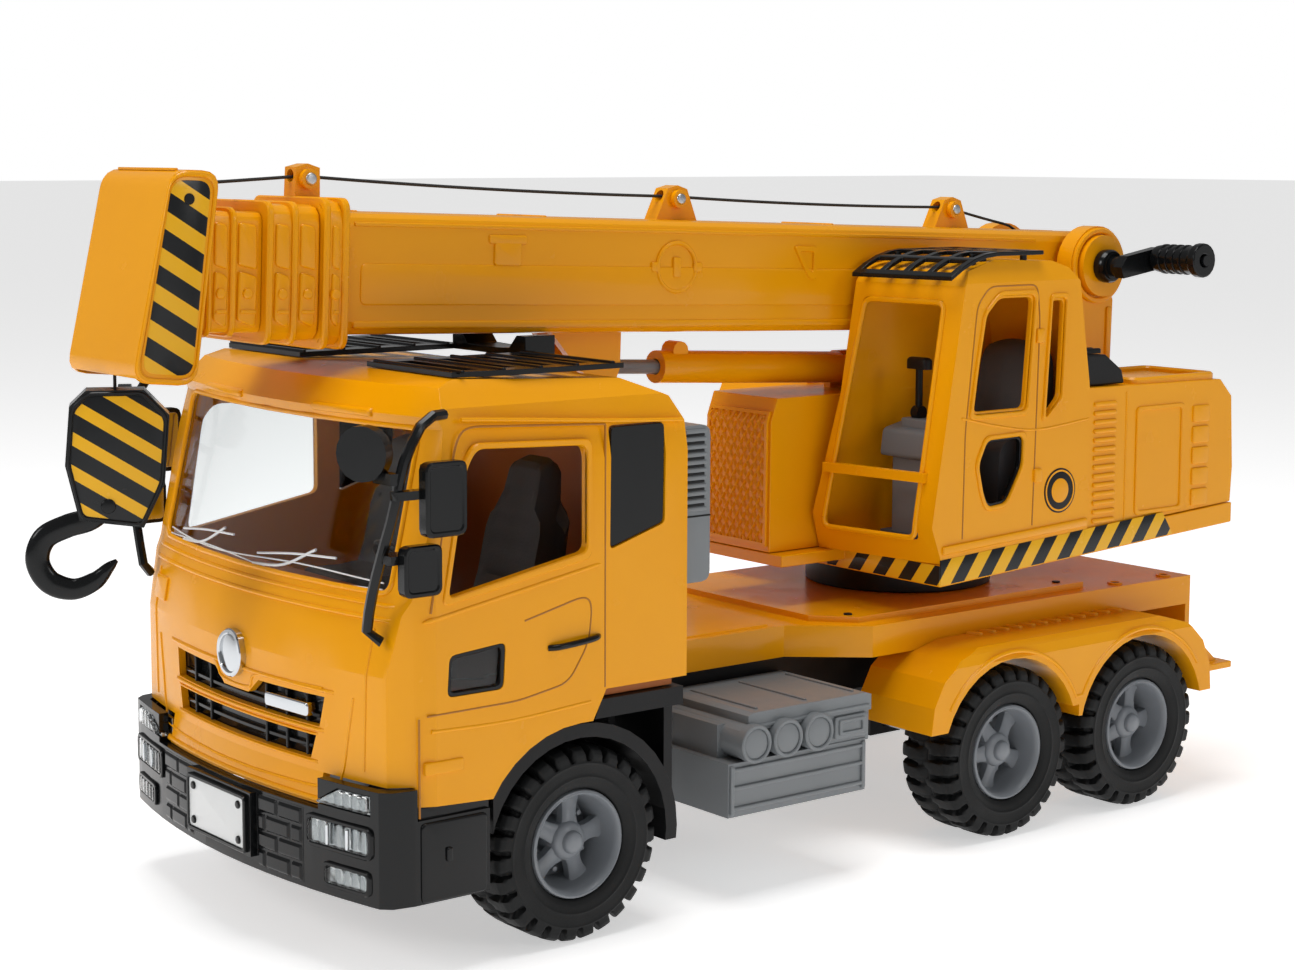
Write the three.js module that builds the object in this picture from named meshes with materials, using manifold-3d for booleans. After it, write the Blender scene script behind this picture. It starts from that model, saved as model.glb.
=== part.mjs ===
// Toy crane truck: three-axle lorry, slewing upper works, telescopic boom and hand winch.
// Millimetres, +Z up, the front of the truck towards -Y, its left side towards +X.
import * as THREE from 'three';
import { mergeVertices } from 'three/addons/utils/BufferGeometryUtils.js';
import Module from 'manifold-3d';

const wasm = await Module();
wasm.setup();

// ---- driving dimensions -------------------------------------------------------------------
const gap = 0.3;                 // between pieces that touch without moving
const runGap = 0.35;             // round a part that turns or slides

const halfWidth = 95;            // cab side and outer tyre face
const tyreRadius = 36;
const tyreWidth = 30;
const rimRadius = 20;
const axleRadius = 2.5;
const archGap = 9;               // tyre tread to the wheel arch
const frontAxleY = -99.3;
const rearAxleGap = 9.6;         // between the treads of the two rear tyres
const bogieY = 164;              // half way between the two rear axles

// Heights below are measured from the top of the tyres, so the body rises with a larger wheel.
const cabWall = 3;
const cabRearY = -50.9;
const cabFrontY = -187;          // front panel on the centre line
const cabSillZ = 20;             // door sill behind the wheel arch
const cabLipZ = -15;             // lower edge of the front panel
const cabCornerZ = -4;           // lower edge of the panel above the headlamps
const roofZ = 131;
const screenSillZ = 60.5;
const screenHeadZ = 118;
const screenSillY = -180.5;
const screenHeadY = -169;
const cornerX = 56;              // inner end of the headlamp corners
const noseBulge = 9;             // how far the front bows out over screenHalf
const screenHalf = 82;

const bumperBaseZ = -45;
const bumperWall = 4;
const bumperFrontY = -192.5;

const deckHalf = 44;
const deckZ = 19.5;
const deckSkirt = 13;
const deckRearY = 270;
const rearDeckHalf = 67;
const plateauHalf = 58.5;
const plateauZ = 22;
const plateauFrontY = 56;
const plateauRearY = 206.7;
const frameHalf = 38;

const slewY = 148.6;
const ringRadius = 41.4;
const ringHeight = 12.5;
const spigotRadius = 16;

const turretHalf = 82;
const turretFloor = 9;           // height of the turret's floor plate
const baseRise = 0.055;          // slope of the turret's underside behind its front edge
const noseHalf = 25;
const noseFrontY = 57;
const turretFrontY = 93;
const turretRearY = 279;
const houseZ = 111;              // top of the machinery house
const houseFrontY = 182;
const craneCabInner = 26;        // inner side of the operator's cab
const craneCabTopZ = 167;
const cabSlant = 0.15;           // forward slant of the operator's cab across its width

const pivotY = 240;              // boom pivot and winch shaft
const pivotZ = 161;
const boomTilt = THREE.MathUtils.degToRad(2.1);
const boomHalf = 22;
const boomTop = 15.2;            // above the pivot
const boomBottom = -29.6;
const boomWall = 2.2;
const boomReach = 393;           // pivot to the front of the main section
const sectionGap = 0.4;          // sliding clearance between boom sections
const collarLength = 10;
const towerWall = 8.5;
const shaftRadius = 4;
const drumRadius = 7;

const lugPinY = -21;             // luffing cylinder pin on the boom
const lugPinZ = 126;
const rootPinY = 120;            // luffing cylinder pin on the turret
const rootPinZ = 118.5;
const barrelRadius = 6.8;
const rodRadius = 3;

const headHalf = 26;
const cordRadius = 0.6;

const hookTurn = THREE.MathUtils.degToRad(-26);  // how the hook block hangs turned on its cord

// ---- materials ------------------------------------------------------------------------------
const finish = (color, roughness, metalness = 0) =>
  new THREE.MeshStandardMaterial({ color, roughness, metalness });
const yellow = () => finish(0xf0a000, 0.25);
const black = () => finish(0x101214, 0.3);
const silver = () => finish(0x8f959d, 0.4, 0.3);
const rubber = () => finish(0x15161a, 0.75);
const steel = () => finish(0xb8bcc2, 0.3, 1);
const darkGrey = () => finish(0x35353a, 0.6);
const clear = () => finish(0xd8e0e0, 0.05);

// ---- solids ---------------------------------------------------------------------------------
const solidOf = (geometry) => {
  const bare = geometry.index ? geometry.toNonIndexed() : geometry.clone();
  bare.deleteAttribute('normal');
  bare.deleteAttribute('uv');
  const merged = mergeVertices(bare, 1e-4);
  return new wasm.Manifold(new wasm.Mesh({
    numProp: 3,
    vertProperties: new Float32Array(merged.attributes.position.array),
    triVerts: new Uint32Array(merged.index.array),
  }));
};

const geometryOf = (solid) => {
  const mesh = solid.getMesh();
  const geometry = new THREE.BufferGeometry();
  geometry.setAttribute('position', new THREE.BufferAttribute(new Float32Array(mesh.vertProperties), 3));
  geometry.setIndex(new THREE.BufferAttribute(new Uint32Array(mesh.triVerts), 1));
  geometry.computeVertexNormals();
  return geometry;
};

const union = (...solids) => solids.reduce((all, next) => all.add(next));

const alongX = new THREE.Matrix4().makeBasis(
  new THREE.Vector3(0, 1, 0), new THREE.Vector3(0, 0, 1), new THREE.Vector3(1, 0, 0));
const alongY = new THREE.Matrix4().makeBasis(
  new THREE.Vector3(1, 0, 0), new THREE.Vector3(0, 0, 1), new THREE.Vector3(0, -1, 0));

const outline = (points) => new THREE.Shape(points.map(([a, b]) => new THREE.Vector2(a, b)));

// A polygon with its corners rounded, by less where its sides are short.
const rounded = (points, radius, steps = 3) => {
  const path = [];
  points.forEach(([a, b], index) => {
    const corner = new THREE.Vector2(a, b);
    const back = new THREE.Vector2(...points[(index + points.length - 1) % points.length]).sub(corner);
    const ahead = new THREE.Vector2(...points[(index + 1) % points.length]).sub(corner);
    const start = back.setLength(Math.min(radius, back.length() * 0.45)).add(corner);
    const end = ahead.setLength(Math.min(radius, ahead.length() * 0.45)).add(corner);
    path.push(...new THREE.QuadraticBezierCurve(start, corner, end).getPoints(steps));
  });
  return new THREE.Shape(path);
};

const rect = (a0, b0, a1, b1) => [[a0, b0], [a1, b0], [a1, b1], [a0, b1]];

const extrude = (shape, depth, steps = 1) =>
  new THREE.ExtrudeGeometry(shape, { depth, steps, bevelEnabled: false, curveSegments: 10 });

// Shape drawn in (Y, Z) and carried along X.
const slabX = (shape, x0, x1, steps = 1) =>
  extrude(shape, x1 - x0, steps).applyMatrix4(alongX).translate(x0, 0, 0);

// Shape drawn in (X, Z) and carried along Y.
const slabY = (shape, y0, y1, steps = 1) =>
  extrude(shape, y1 - y0, steps).applyMatrix4(alongY).translate(0, y1, 0);

// Shape drawn in (X, Y) and carried up Z.
const slabZ = (shape, z0, z1, steps = 1) =>
  extrude(shape, z1 - z0, steps).translate(0, 0, z0);

const block = (x0, x1, y0, y1, z0, z1) =>
  new THREE.BoxGeometry(x1 - x0, y1 - y0, z1 - z0)
    .translate((x0 + x1) / 2, (y0 + y1) / 2, (z0 + z1) / 2);

const rodX = (radius, x0, x1, y, z, sides = 20) =>
  new THREE.CylinderGeometry(radius, radius, x1 - x0, sides)
    .rotateZ(Math.PI / 2).translate((x0 + x1) / 2, y, z);

const rodZ = (radius, z0, z1, x, y, sides = 20) =>
  new THREE.CylinderGeometry(radius, radius, z1 - z0, sides)
    .rotateX(Math.PI / 2).translate(x, y, (z0 + z1) / 2);

const rodY = (radius, y0, y1, x, z, sides = 20) =>
  new THREE.CylinderGeometry(radius, radius, y1 - y0, sides)
    .translate(x, (y0 + y1) / 2, z);

// A profile of (radius, x) pairs turned about the X axis.
const turnedX = (profile, sides) =>
  new THREE.LatheGeometry(profile.map(([r, x]) => new THREE.Vector2(r, -x)).reverse(), sides)
    .rotateZ(Math.PI / 2);

// Moves every vertex of a geometry by a rule.
const warp = (geometry, rule) => {
  const place = geometry.attributes.position;
  const point = new THREE.Vector3();
  for (let index = 0; index < place.count; index += 1) {
    point.fromBufferAttribute(place, index);
    rule(point);
    place.setXYZ(index, point.x, point.y, point.z);
  }
  return geometry;
};

// The front of the cab bows forward: points ahead of the door move back towards the sides.
const bowStartY = -150;
const bow = (x) => noseBulge * (x / screenHalf) ** 2;
const bowed = (geometry) => warp(geometry, (point) => {
  if (point.y < bowStartY) {
    point.y += bow(point.x);
  }
});

// ---- scene graph ------------------------------------------------------------------------------
const model = new THREE.Group();
const body = new THREE.Group();          // everything carried above the tyres
body.position.z = 2 * tyreRadius;
model.add(body);

const piece = (name, shape, material, parent = body) => {
  const geometry = shape instanceof wasm.Manifold ? geometryOf(shape) : shape;
  const mesh = new THREE.Mesh(geometry, material);
  mesh.name = name;
  parent.add(mesh);
  return mesh;
};

// ---- wheels and axles -------------------------------------------------------------------------
const axleDrop = -tyreRadius;            // axle height below the tyre tops
const rearAxleOffset = tyreRadius + rearAxleGap / 2;
const axles = { front: frontAxleY, middle: bogieY - rearAxleOffset, rear: bogieY + rearAxleOffset };
const tyreInner = halfWidth - tyreWidth;
const hubLength = 10;

const tyreSides = 28;
const treadRadius = tyreRadius / Math.cos(Math.PI / tyreSides);    // the flats lie at the tyre radius
const tyreProfile = [
  [rimRadius + gap, -tyreWidth / 2], [treadRadius - 5, -tyreWidth / 2], [treadRadius, -tyreWidth / 2 + 4],
  [treadRadius, tyreWidth / 2 - 4], [treadRadius - 5, tyreWidth / 2], [rimRadius + gap, tyreWidth / 2],
  [rimRadius + gap, -tyreWidth / 2],
];
const rimProfile = [
  [axleRadius + gap, -hubLength], [6, -hubLength], [6, -2], [rimRadius - 3, -2],
  [rimRadius, -2], [rimRadius, tyreWidth / 2 - 2], [rimRadius - 3, 5], [7, 5], [5, 10], [0, 11], [0, 6],
  [axleRadius + gap, 6], [axleRadius + gap, -hubLength],
];

Object.entries(axles).forEach(([name, y]) => {
  const inset = halfWidth - tyreWidth / 2 - gap;
  piece(`${name}_axle`, rodX(axleRadius, -inset - 5, inset + 5, y, axleDrop, 12), steel());
  [['left', 1], ['right', -1]].forEach(([side, sign]) => {
    const wheel = new THREE.Group();
    wheel.position.set(sign * (halfWidth - tyreWidth / 2), y, axleDrop);
    wheel.rotation.z = sign > 0 ? 0 : Math.PI;
    body.add(wheel);
    piece(`${name}_tyre_${side}`, turnedX(tyreProfile, tyreSides).rotateX(Math.PI / tyreSides), rubber(), wheel);
    piece(`${name}_rim_${side}`, turnedX(rimProfile, 18), silver(), wheel);
  });
});

// ---- cab ----------------------------------------------------------------------------------------
const archRadius = tyreRadius + archGap;
const archCut = (inner, outer, y, radius) => solidOf(rodX(radius, inner, outer, y, axleDrop, 36));

// Side outline of the cab, from the rear sill round over the roof to the lower lip.
const cabSide = (inset) => outline([
  [cabRearY - inset, cabLipZ - inset * 4],
  [cabRearY - inset, roofZ - 16 - inset],
  [cabRearY - 6 - inset, roofZ - 7 - inset],
  [cabRearY - 24, roofZ - inset],
  [screenHeadY + 24, roofZ + 3 - inset],
  [screenHeadY + 7 + inset, roofZ + 0.5 - inset],
  [screenHeadY + inset, screenHeadZ + 4],
  [screenHeadY + 1.5 + inset, screenHeadZ],
  [screenSillY + inset, screenSillZ],
  [screenSillY - 2.5 + inset, screenSillZ - 5],
  [cabFrontY + inset, 34],
  [cabFrontY + inset, -4],
  [cabFrontY - 2 + inset, cabLipZ],
  [cabFrontY - 2 + inset, cabLipZ - inset * 4],
]);

const cabPlan = (inset) => {
  const half = halfWidth - inset;
  return outline([
    [half, cabRearY - inset], [half, -161], [half - 2, -168], [half - 8, -178],
    [half - 16, -215], [-half + 16, -215],
    [-half + 8, -178], [-half + 2, -168], [-half, -161], [-half, cabRearY - inset]].reverse());
};

const cabFace = (inset) => {
  const half = halfWidth - inset;
  return outline([[-half, cabLipZ - 30], [half, cabLipZ - 30], [half, 104], [half - 4, roofZ - 6 - inset],
    [half - 13, roofZ + 3 - inset], [-half + 13, roofZ + 3 - inset], [-half + 4, roofZ - 6 - inset],
    [-half, 104]]);
};

const cabSolid = (inset) => {
  const side = solidOf(bowed(slabX(cabSide(inset), -halfWidth - 5, halfWidth + 5, 14)));
  return side
    .intersect(solidOf(slabZ(cabPlan(inset), cabLipZ - 40, roofZ + 20)))
    .intersect(solidOf(slabY(cabFace(inset), -220, 0)));
};

const doorWindow = rounded([[-97, 109], [-144, 111], [-148, 105], [-156, 60.5], [-97, 71]], 3);
const quarterWindow = rounded([[-61, 115], [-86, 115], [-86.5, 70.5], [-61.5, 78]], 2);
const lowWindow = rounded([[-132, 42.5], [-155.5, 40.5], [-156.5, 26], [-133, 26]], 2.5);
const screenOpening = rounded(
  [[-screenHalf, screenSillZ + 1], [screenHalf, screenSillZ + 1], [screenHalf, screenHeadZ], [-screenHalf, screenHeadZ]], 4);

const upperSlot = outline([[-50, 12], [54, 12], [57, 23], [17, 22.5], [10, 17], [-8, 17], [-15, 22.5], [-51, 23]]);
const lowerSlot = outline([[-47, 0], [49, 0], [52, 8.5], [-49, 8.5]]);

const sill = outline([
  [cabRearY + 5, cabLipZ - 40], [cabRearY + 5, cabSillZ], [-88, cabSillZ], [-94, 9],
  [frontAxleY, 9], [frontAxleY - 20, cabLipZ + 8], [-137.5, cabLipZ + 2.5], [-168.5, cabLipZ + 4],
  [-168.5, cabLipZ - 40]]);

let cabShell = cabSolid(0).subtract(cabSolid(cabWall));
cabShell = cabShell
  .subtract(solidOf(slabX(doorWindow, -halfWidth - 5, halfWidth + 5)))
  .subtract(solidOf(slabX(quarterWindow, -halfWidth - 5, halfWidth + 5)))
  .subtract(solidOf(slabX(lowWindow, -halfWidth - 5, halfWidth + 5)))
  .subtract(solidOf(slabX(sill, -halfWidth - 5, halfWidth + 5)))
  .subtract(archCut(-halfWidth - 5, halfWidth + 5, frontAxleY, archRadius))
  .subtract(solidOf(slabY(screenOpening, -220, -150)))
  .subtract(solidOf(slabY(upperSlot, -220, -150)))
  .subtract(solidOf(slabY(lowerSlot, -220, -150)))
  .subtract(solidOf(block(cornerX, halfWidth + 5, -220, -168.5, cabLipZ - 40, cabCornerZ)))
  .subtract(solidOf(block(-halfWidth - 5, -cornerX, -220, -168.5, cabLipZ - 40, cabCornerZ)))
  .subtract(solidOf(block(-halfWidth - 5, halfWidth + 5, -220, cabRearY + 5, cabLipZ - 40, cabLipZ)));
piece('cab_shell', cabShell, yellow());

// Clear screen set into its opening, with its own bow.
const screenThickness = 1.6;
const screenPane = (grow) => {
  const lean = (screenHeadY - screenSillY) / (screenHeadZ - screenSillZ);
  const back = cabWall - 0.6;
  return outline([
    [screenSillY + back - lean * grow, screenSillZ + 1 - grow],
    [screenSillY + back - screenThickness - lean * grow, screenSillZ + 1 - grow],
    [screenHeadY + 1.5 + back - screenThickness + lean * grow, screenHeadZ + grow],
    [screenHeadY + 1.5 + back + lean * grow, screenHeadZ + grow]].reverse());
};
const paneEdge = rounded([[-screenHalf + gap, screenSillZ + 1 + gap], [screenHalf - gap, screenSillZ + 1 + gap],
  [screenHalf - gap, screenHeadZ - gap], [-screenHalf + gap, screenHeadZ - gap]], 4);
piece('windscreen', solidOf(bowed(slabX(screenPane(1), -halfWidth, halfWidth, 14)))
  .intersect(solidOf(slabY(paneEdge, -220, -150))), clear());

// Dark panes behind the door.
[['left', 1], ['right', -1]].forEach(([side, sign]) => {
  const pane = rounded([[-61.3, 114.7], [-85.7, 114.7], [-86.2, 71], [-61.8, 78.4]], 2);
  const inner = sign * (halfWidth - 2.2);
  const outer = sign * (halfWidth - 0.6);
  piece(`quarter_window_${side}`, slabX(pane, Math.min(inner, outer), Math.max(inner, outer)), black());
});

// Grille insert: a black tray behind the two slots, with one bar in each.
const grilleBack = cabFrontY + cabWall + gap;
const grilleTray = union(
  solidOf(bowed(slabX(outline(rect(grilleBack, -3, grilleBack + 2.5, 27)), -60, 60, 10))),
  solidOf(bowed(slabX(outline(rect(cabFrontY + 1.5, 14.5, grilleBack + 1, 16)), -47, 52, 10))),
  solidOf(bowed(slabX(outline(rect(cabFrontY + 1.5, 3.2, grilleBack + 1, 4.7)), -45, 48, 10))));
piece('grille', grilleTray, black());

// Cab interior in one moulding: floor, engine tunnel, dashboard, steering wheel and two seats.
const floorZ = cabSillZ - 1;
const inside = halfWidth - cabWall - gap;
const seatProfile = [[-126, floorZ - 1], [-84, floorZ - 1], [-74, 96], [-80, 99], [-88, 97], [-97, 50], [-124, 46]];
const seat = solidOf(slabX(rounded(seatProfile, 4, 2), -20, 20));
const onColumn = (geometry) => solidOf(geometry.rotateX(-0.7).translate(40, -136, 62));
const steering = union(
  onColumn(new THREE.TorusGeometry(14, 1.6, 6, 20)),
  onColumn(new THREE.BoxGeometry(27, 3, 2)),
  onColumn(new THREE.CylinderGeometry(2, 2, 24, 8).rotateX(Math.PI / 2).translate(0, 0, -12)));
const interior = union(
  solidOf(block(-inside, inside, -93, cabRearY - cabWall - gap, floorZ - 2.5, floorZ)),
  solidOf(block(-inside + 1, inside - 1, -156, -92, 12, floorZ)),
  solidOf(block(-14, 14, -150, -60, floorZ - 1, floorZ + 12)),
  solidOf(slabX(outline([[-164, 14], [-148, 14], [-146, 50], [-152, 56], [-165, 57], [-168, 44]]),
    -inside + 14, inside - 14)),
  seat.translate([42, 0, 0]), seat.translate([-42, 0, 0]), steering);
piece('cab_interior', interior, finish(0x8a4a10, 0.5));

// Roof rack: two slatted panels joined by the notched rest that the boom lies in.
const rackBase = roofZ + 3 + gap;
const restFrontY = -74;
const restRearY = -60;
const boomUnderAt = (y) => pivotZ + boomBottom / Math.cos(boomTilt) + (pivotY - y) * Math.tan(boomTilt);
const restTop = boomUnderAt(restRearY) - gap;
const restShape = outline([[-25, rackBase], [25, rackBase], [25, restTop], [19, restTop],
  [14, restTop - 5], [6, rackBase + 2.5], [-6, rackBase + 2.5], [-14, restTop - 5], [-19, restTop], [-25, restTop]]);
const rackPlan = outline([[24, -144], [80, -144], [84, -120], [84, -72], [30, -70], [24, -70]]);
let rackPanel = solidOf(slabZ(rackPlan, rackBase, rackBase + 2));
for (let row = 0; row < 4; row += 1) {
  const y0 = -138 + row * 16;
  rackPanel = rackPanel.subtract(solidOf(block(32, 76, y0, y0 + 8, rackBase - 1, rackBase + 3)));
}
piece('roof_rack', union(solidOf(slabY(restShape, restFrontY, restRearY)), rackPanel, rackPanel.mirror([1, 0, 0])),
  black());

// Mirror arms: one moulding on each side with a round mirror and two long ones.
const mirrorPath = new THREE.CatmullRomCurve3([
  new THREE.Vector3(96.2, -158, 124), new THREE.Vector3(100, -168, 123), new THREE.Vector3(100.5, -176.5, 110),
  new THREE.Vector3(98.5, -180, 92), new THREE.Vector3(92.5, -181, 77), new THREE.Vector3(86.5, -181.5, 61),
  new THREE.Vector3(83.5, -180.8, 49), new THREE.Vector3(86, -177.1, 46.5)]);
const tubeSection = new THREE.Shape();
tubeSection.absarc(0, 0, 1.9, 0, Math.PI * 2);
const mirrorTube = new THREE.ExtrudeGeometry(tubeSection,
  { steps: 14, curveSegments: 4, extrudePath: mirrorPath, bevelEnabled: false });
const roundMirror = solidOf(rodY(9.5, -2.5, 2.5, 0, 0, 20).rotateZ(Math.PI / 6).translate(89, -185, 112));
const mirrorLeft = union(
  solidOf(mirrorTube),
  roundMirror,
  solidOf(block(90, 101, -182.5, -179, 102, 106)),
  solidOf(slabX(rounded(rect(-171, 84, -155, 109), 2.5, 2), 100.5, 105)),
  solidOf(block(98.5, 103, -181, -169, 97, 100)),
  solidOf(slabX(rounded(rect(-178, 64, -163.5, 81), 2.5, 2), 98, 102.5)),
  solidOf(block(91, 99.5, -181.5, -172, 75, 78)));
piece('mirror_arm_left', mirrorLeft, black());
piece('mirror_arm_right', mirrorLeft.mirror([1, 0, 0]), black());

// Air intake standing behind the cab.
const intakeY = cabRearY + gap;
const intake = solidOf(slabX(rounded(rect(intakeY, 53, intakeY + 15, 112), 4), 74, 90));
piece('air_intake', intake, silver());

// ---- bumper and lamps -----------------------------------------------------------------------------
// A band that follows the bow of the cab front and returns along both sides.
const bumperBand = (front, back, z0, z1) => {
  const depth = (inset) => {
    const half = halfWidth - inset;
    const shape = outline([[half, -139], [half, -170], [half - 1.5, -178 + inset], [half - 7, -184 + inset],
      [half - 15, -230], [-half + 15, -230], [-half + 7, -184 + inset], [-half + 1.5, -178 + inset], [-half, -170],
      [-half, -139]].reverse());
    const face = bowed(slabX(outline(rect(bumperFrontY + inset, z0, -100, z1)), -halfWidth - 5, halfWidth + 5, 14));
    return solidOf(face).intersect(solidOf(slabZ(shape, z0 - 1, z1 + 1)));
  };
  return depth(front).subtract(depth(back));
};

const lampShapes = (grow) => [
  rounded(rect(55 - grow, -28 - grow, 87 + grow, -18 + grow), 2.5, 2),
  rounded(rect(64 - grow, -41 - grow, 86 + grow, -33.5 + grow), 2, 2),
  outline([[58 - grow * 2, -13 - grow], [86 + grow, -13 - grow], [86 + grow, -6.5 + grow], [70, -6.5 + grow]]),
];
const lampPrism = (grow) => union(...lampShapes(grow).map((shape) => solidOf(slabY(shape, -230, -160))));

const bumperTop = cabLipZ - gap;
const ear = solidOf(block(60, halfWidth + 5, -230, -168.5 - gap, bumperTop - 5, cabCornerZ - gap))
  .add(solidOf(block(-halfWidth - 5, -60, -230, -168.5 - gap, bumperTop - 5, cabCornerZ - gap)));
let bumper = bumperBand(0, bumperWall, bumperBaseZ, bumperTop)
  .add(bumperBand(0, bumperWall, bumperTop - 6, cabCornerZ - gap).intersect(ear))
  .add(solidOf(block(-24, 24, bumperFrontY - 2, bumperFrontY + 3, -40, -16.5)));
const lampCut = lampPrism(gap);
bumper = bumper.subtract(lampCut).subtract(lampCut.mirror([1, 0, 0]));
piece('bumper', bumper, black());

const lampReach = solidOf(block(50, 88, -230, -150, -43, bumperTop))
  .add(solidOf(block(cornerX + gap, 88, -230, -150, -43, -6)));
const lampInsert = bumperBand(bumperWall + gap, bumperWall + gap + 1.5, -44, -5).intersect(lampReach)
  .add(bumperBand(0.6, bumperWall + gap + 0.5, -44, -5).intersect(lampPrism(0)));
piece('lamp_insert_left', lampInsert, clear());
piece('lamp_insert_right', lampInsert.mirror([1, 0, 0]), clear());

// ---- chassis ------------------------------------------------------------------------------------------
// Black frame under the deck: two side rails, the front wheel-arch liners and axle blocks.
const frameTop = deckZ - deckSkirt - gap;
const axleBlock = (y) => solidOf(block(-20, 20, y - 9, y + 9, axleDrop - 6, frameTop));
const linerWidth = 34;
const liner = (sign) => {
  const x0 = sign > 0 ? halfWidth - linerWidth : -halfWidth + 0.6;
  const x1 = sign > 0 ? halfWidth - 0.6 : -halfWidth + linerWidth;
  const outerArc = archCut(x0, x1, frontAxleY, archRadius - gap);
  const innerArc = archCut(x0 - 1, x1 + 1, frontAxleY, archRadius - 5.5);
  const wall = solidOf(block(sign > 0 ? x0 - 3 : x1, sign > 0 ? x0 : x1 + 3, frontAxleY - 38, frontAxleY + 38,
    bumperBaseZ + 16, 8.5));
  const keep = solidOf(block(x0 - 5, x1 + 5, -137.5 + gap, -52, bumperBaseZ + 4, 8.7));
  return outerArc.subtract(innerArc).intersect(keep).add(wall);
};
const stepTop = floorZ - 2.5 - gap;
const step = (sign) => {
  const shape = outline([[-93 + gap, 9 + gap], [-52, 9 + gap], [-52, stepTop], [-90 + gap, stepTop]]);
  return solidOf(slabX(shape, sign > 0 ? 40 : -halfWidth + 0.6, sign > 0 ? halfWidth - 0.6 : -40));
};
const mudWall = (sign) => solidOf(block(sign > 0 ? 58 : -88, sign > 0 ? 88 : -58, -56, -52, -26, 12));
const railTop = frameTop;
let frame = solidOf(block(-frameHalf, frameHalf, -160, deckRearY - 3 - gap, -14, railTop));
frame = frame.add(axleBlock(axles.front)).add(axleBlock(axles.middle)).add(axleBlock(axles.rear));
frame = frame.add(solidOf(block(-halfWidth + linerWidth + 2, halfWidth - linerWidth - 2, -137, -52, 5, 8.7)));
[1, -1].forEach((sign) => {
  frame = frame.add(liner(sign)).add(step(sign)).add(mudWall(sign));
});
Object.values(axles).forEach((y) => {
  frame = frame.subtract(solidOf(rodX(axleRadius + runGap, -60, 60, y, axleDrop, 16)));
});
frame = frame.subtract(solidOf(rodZ(spigotRadius + 3, -20, 10, 0, slewY, 28)));
piece('chassis_frame', frame, black());

// Yellow deck: a shallow tray over the frame with the raised slewing plateau.
const shoulderY = plateauFrontY + 14;
const deckPlan = outline([[deckHalf, cabRearY + gap], [deckHalf, plateauFrontY - 14], [rearDeckHalf, shoulderY],
  [rearDeckHalf, deckRearY], [-rearDeckHalf, deckRearY], [-rearDeckHalf, shoulderY],
  [-deckHalf, plateauFrontY - 14], [-deckHalf, cabRearY + gap]].reverse());
const deckInner = outline([[frameHalf + 1, cabRearY - 10], [frameHalf + 1, deckRearY - 3],
  [-frameHalf - 1, deckRearY - 3], [-frameHalf - 1, cabRearY - 10]].reverse());
const plateau = outline([[deckHalf - 1, plateauFrontY], [plateauHalf, shoulderY], [plateauHalf, plateauRearY],
  [-plateauHalf, plateauRearY], [-plateauHalf, shoulderY], [-deckHalf + 1, plateauFrontY]].reverse());
const deck = solidOf(slabZ(deckPlan, deckZ - deckSkirt, deckZ))
  .subtract(solidOf(slabZ(deckInner, deckZ - deckSkirt - 5, deckZ - 2.5)))
  .add(solidOf(slabZ(plateau, deckZ - 1, plateauZ)))
  .add(solidOf(block(-rearDeckHalf, rearDeckHalf, deckRearY - 3, deckRearY, -7, deckZ - 1)))
  .subtract(solidOf(rodZ(spigotRadius + runGap, -10, plateauZ + 5, 0, slewY, 28)));
piece('chassis_deck', deck, yellow());

// Double-arched rear wings, one moulding on each side.
const wingArch = tyreRadius + 4;
const wingTop = 10;
const wingSide = outline([[axles.middle - 47, -22], [axles.middle - 45.5, -11], [axles.middle - 40, -1],
  [axles.middle - 30, 6.5], [axles.middle - 16, wingTop], [axles.rear + 16, wingTop], [axles.rear + 30, 6],
  [axles.rear + 40, -3], [axles.rear + 45, -14], [axles.rear + 46, -26], [bogieY, -26], [bogieY, -21],
  [axles.middle, -22]].reverse());
const wingInner = 52.3;
const wing = (sign) => {
  const x0 = wingInner;
  const x1 = halfWidth + 0.6;
  const edge = outline([[x0, -40], [x1, -40], [x1, wingTop - 6], [x1 - 2, wingTop - 2], [x1 - 6, wingTop + 0.5],
    [rearDeckHalf + gap, wingTop + 0.5], [rearDeckHalf + gap, deckZ - deckSkirt - gap], [x0, deckZ - deckSkirt - gap]]);
  let solid = solidOf(slabX(wingSide, x0, x1))
    .intersect(solidOf(slabY(edge, axles.middle - 60, axles.rear + 60)));
  ['middle', 'rear'].forEach((name) => {
    solid = solid.subtract(archCut(x0 - 5, x1 + 5, axles[name], wingArch));
  });
  return sign > 0 ? solid : solid.mirror([1, 0, 0]);
};
piece('rear_wing_left', wing(1), yellow());
piece('rear_wing_right', wing(-1), yellow());

// Tail bar: a step plate across the rear with a web up to the deck and four gussets.
const tailFrontY = axles.rear + 46 + gap;
const tailRearY = tailFrontY + 16;
const tailZ = -18.5;
let tail = solidOf(block(-halfWidth + 1, halfWidth - 1, tailFrontY, tailRearY, tailZ, tailZ + 3))
  .add(solidOf(block(-rearDeckHalf + 6, rearDeckHalf - 6, tailFrontY, tailFrontY + 3, tailZ + 1, -14.4)));
[-90, -70, 67, 87].forEach((x) => {
  const gusset = outline([[tailFrontY, tailZ + 2], [tailRearY - 4, tailZ + 2], [tailFrontY + 2, -8], [tailFrontY, -8]]);
  tail = tail.add(solidOf(slabX(gusset, x, x + 3)));
});
piece('tail_bar', tail, yellow());

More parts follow.
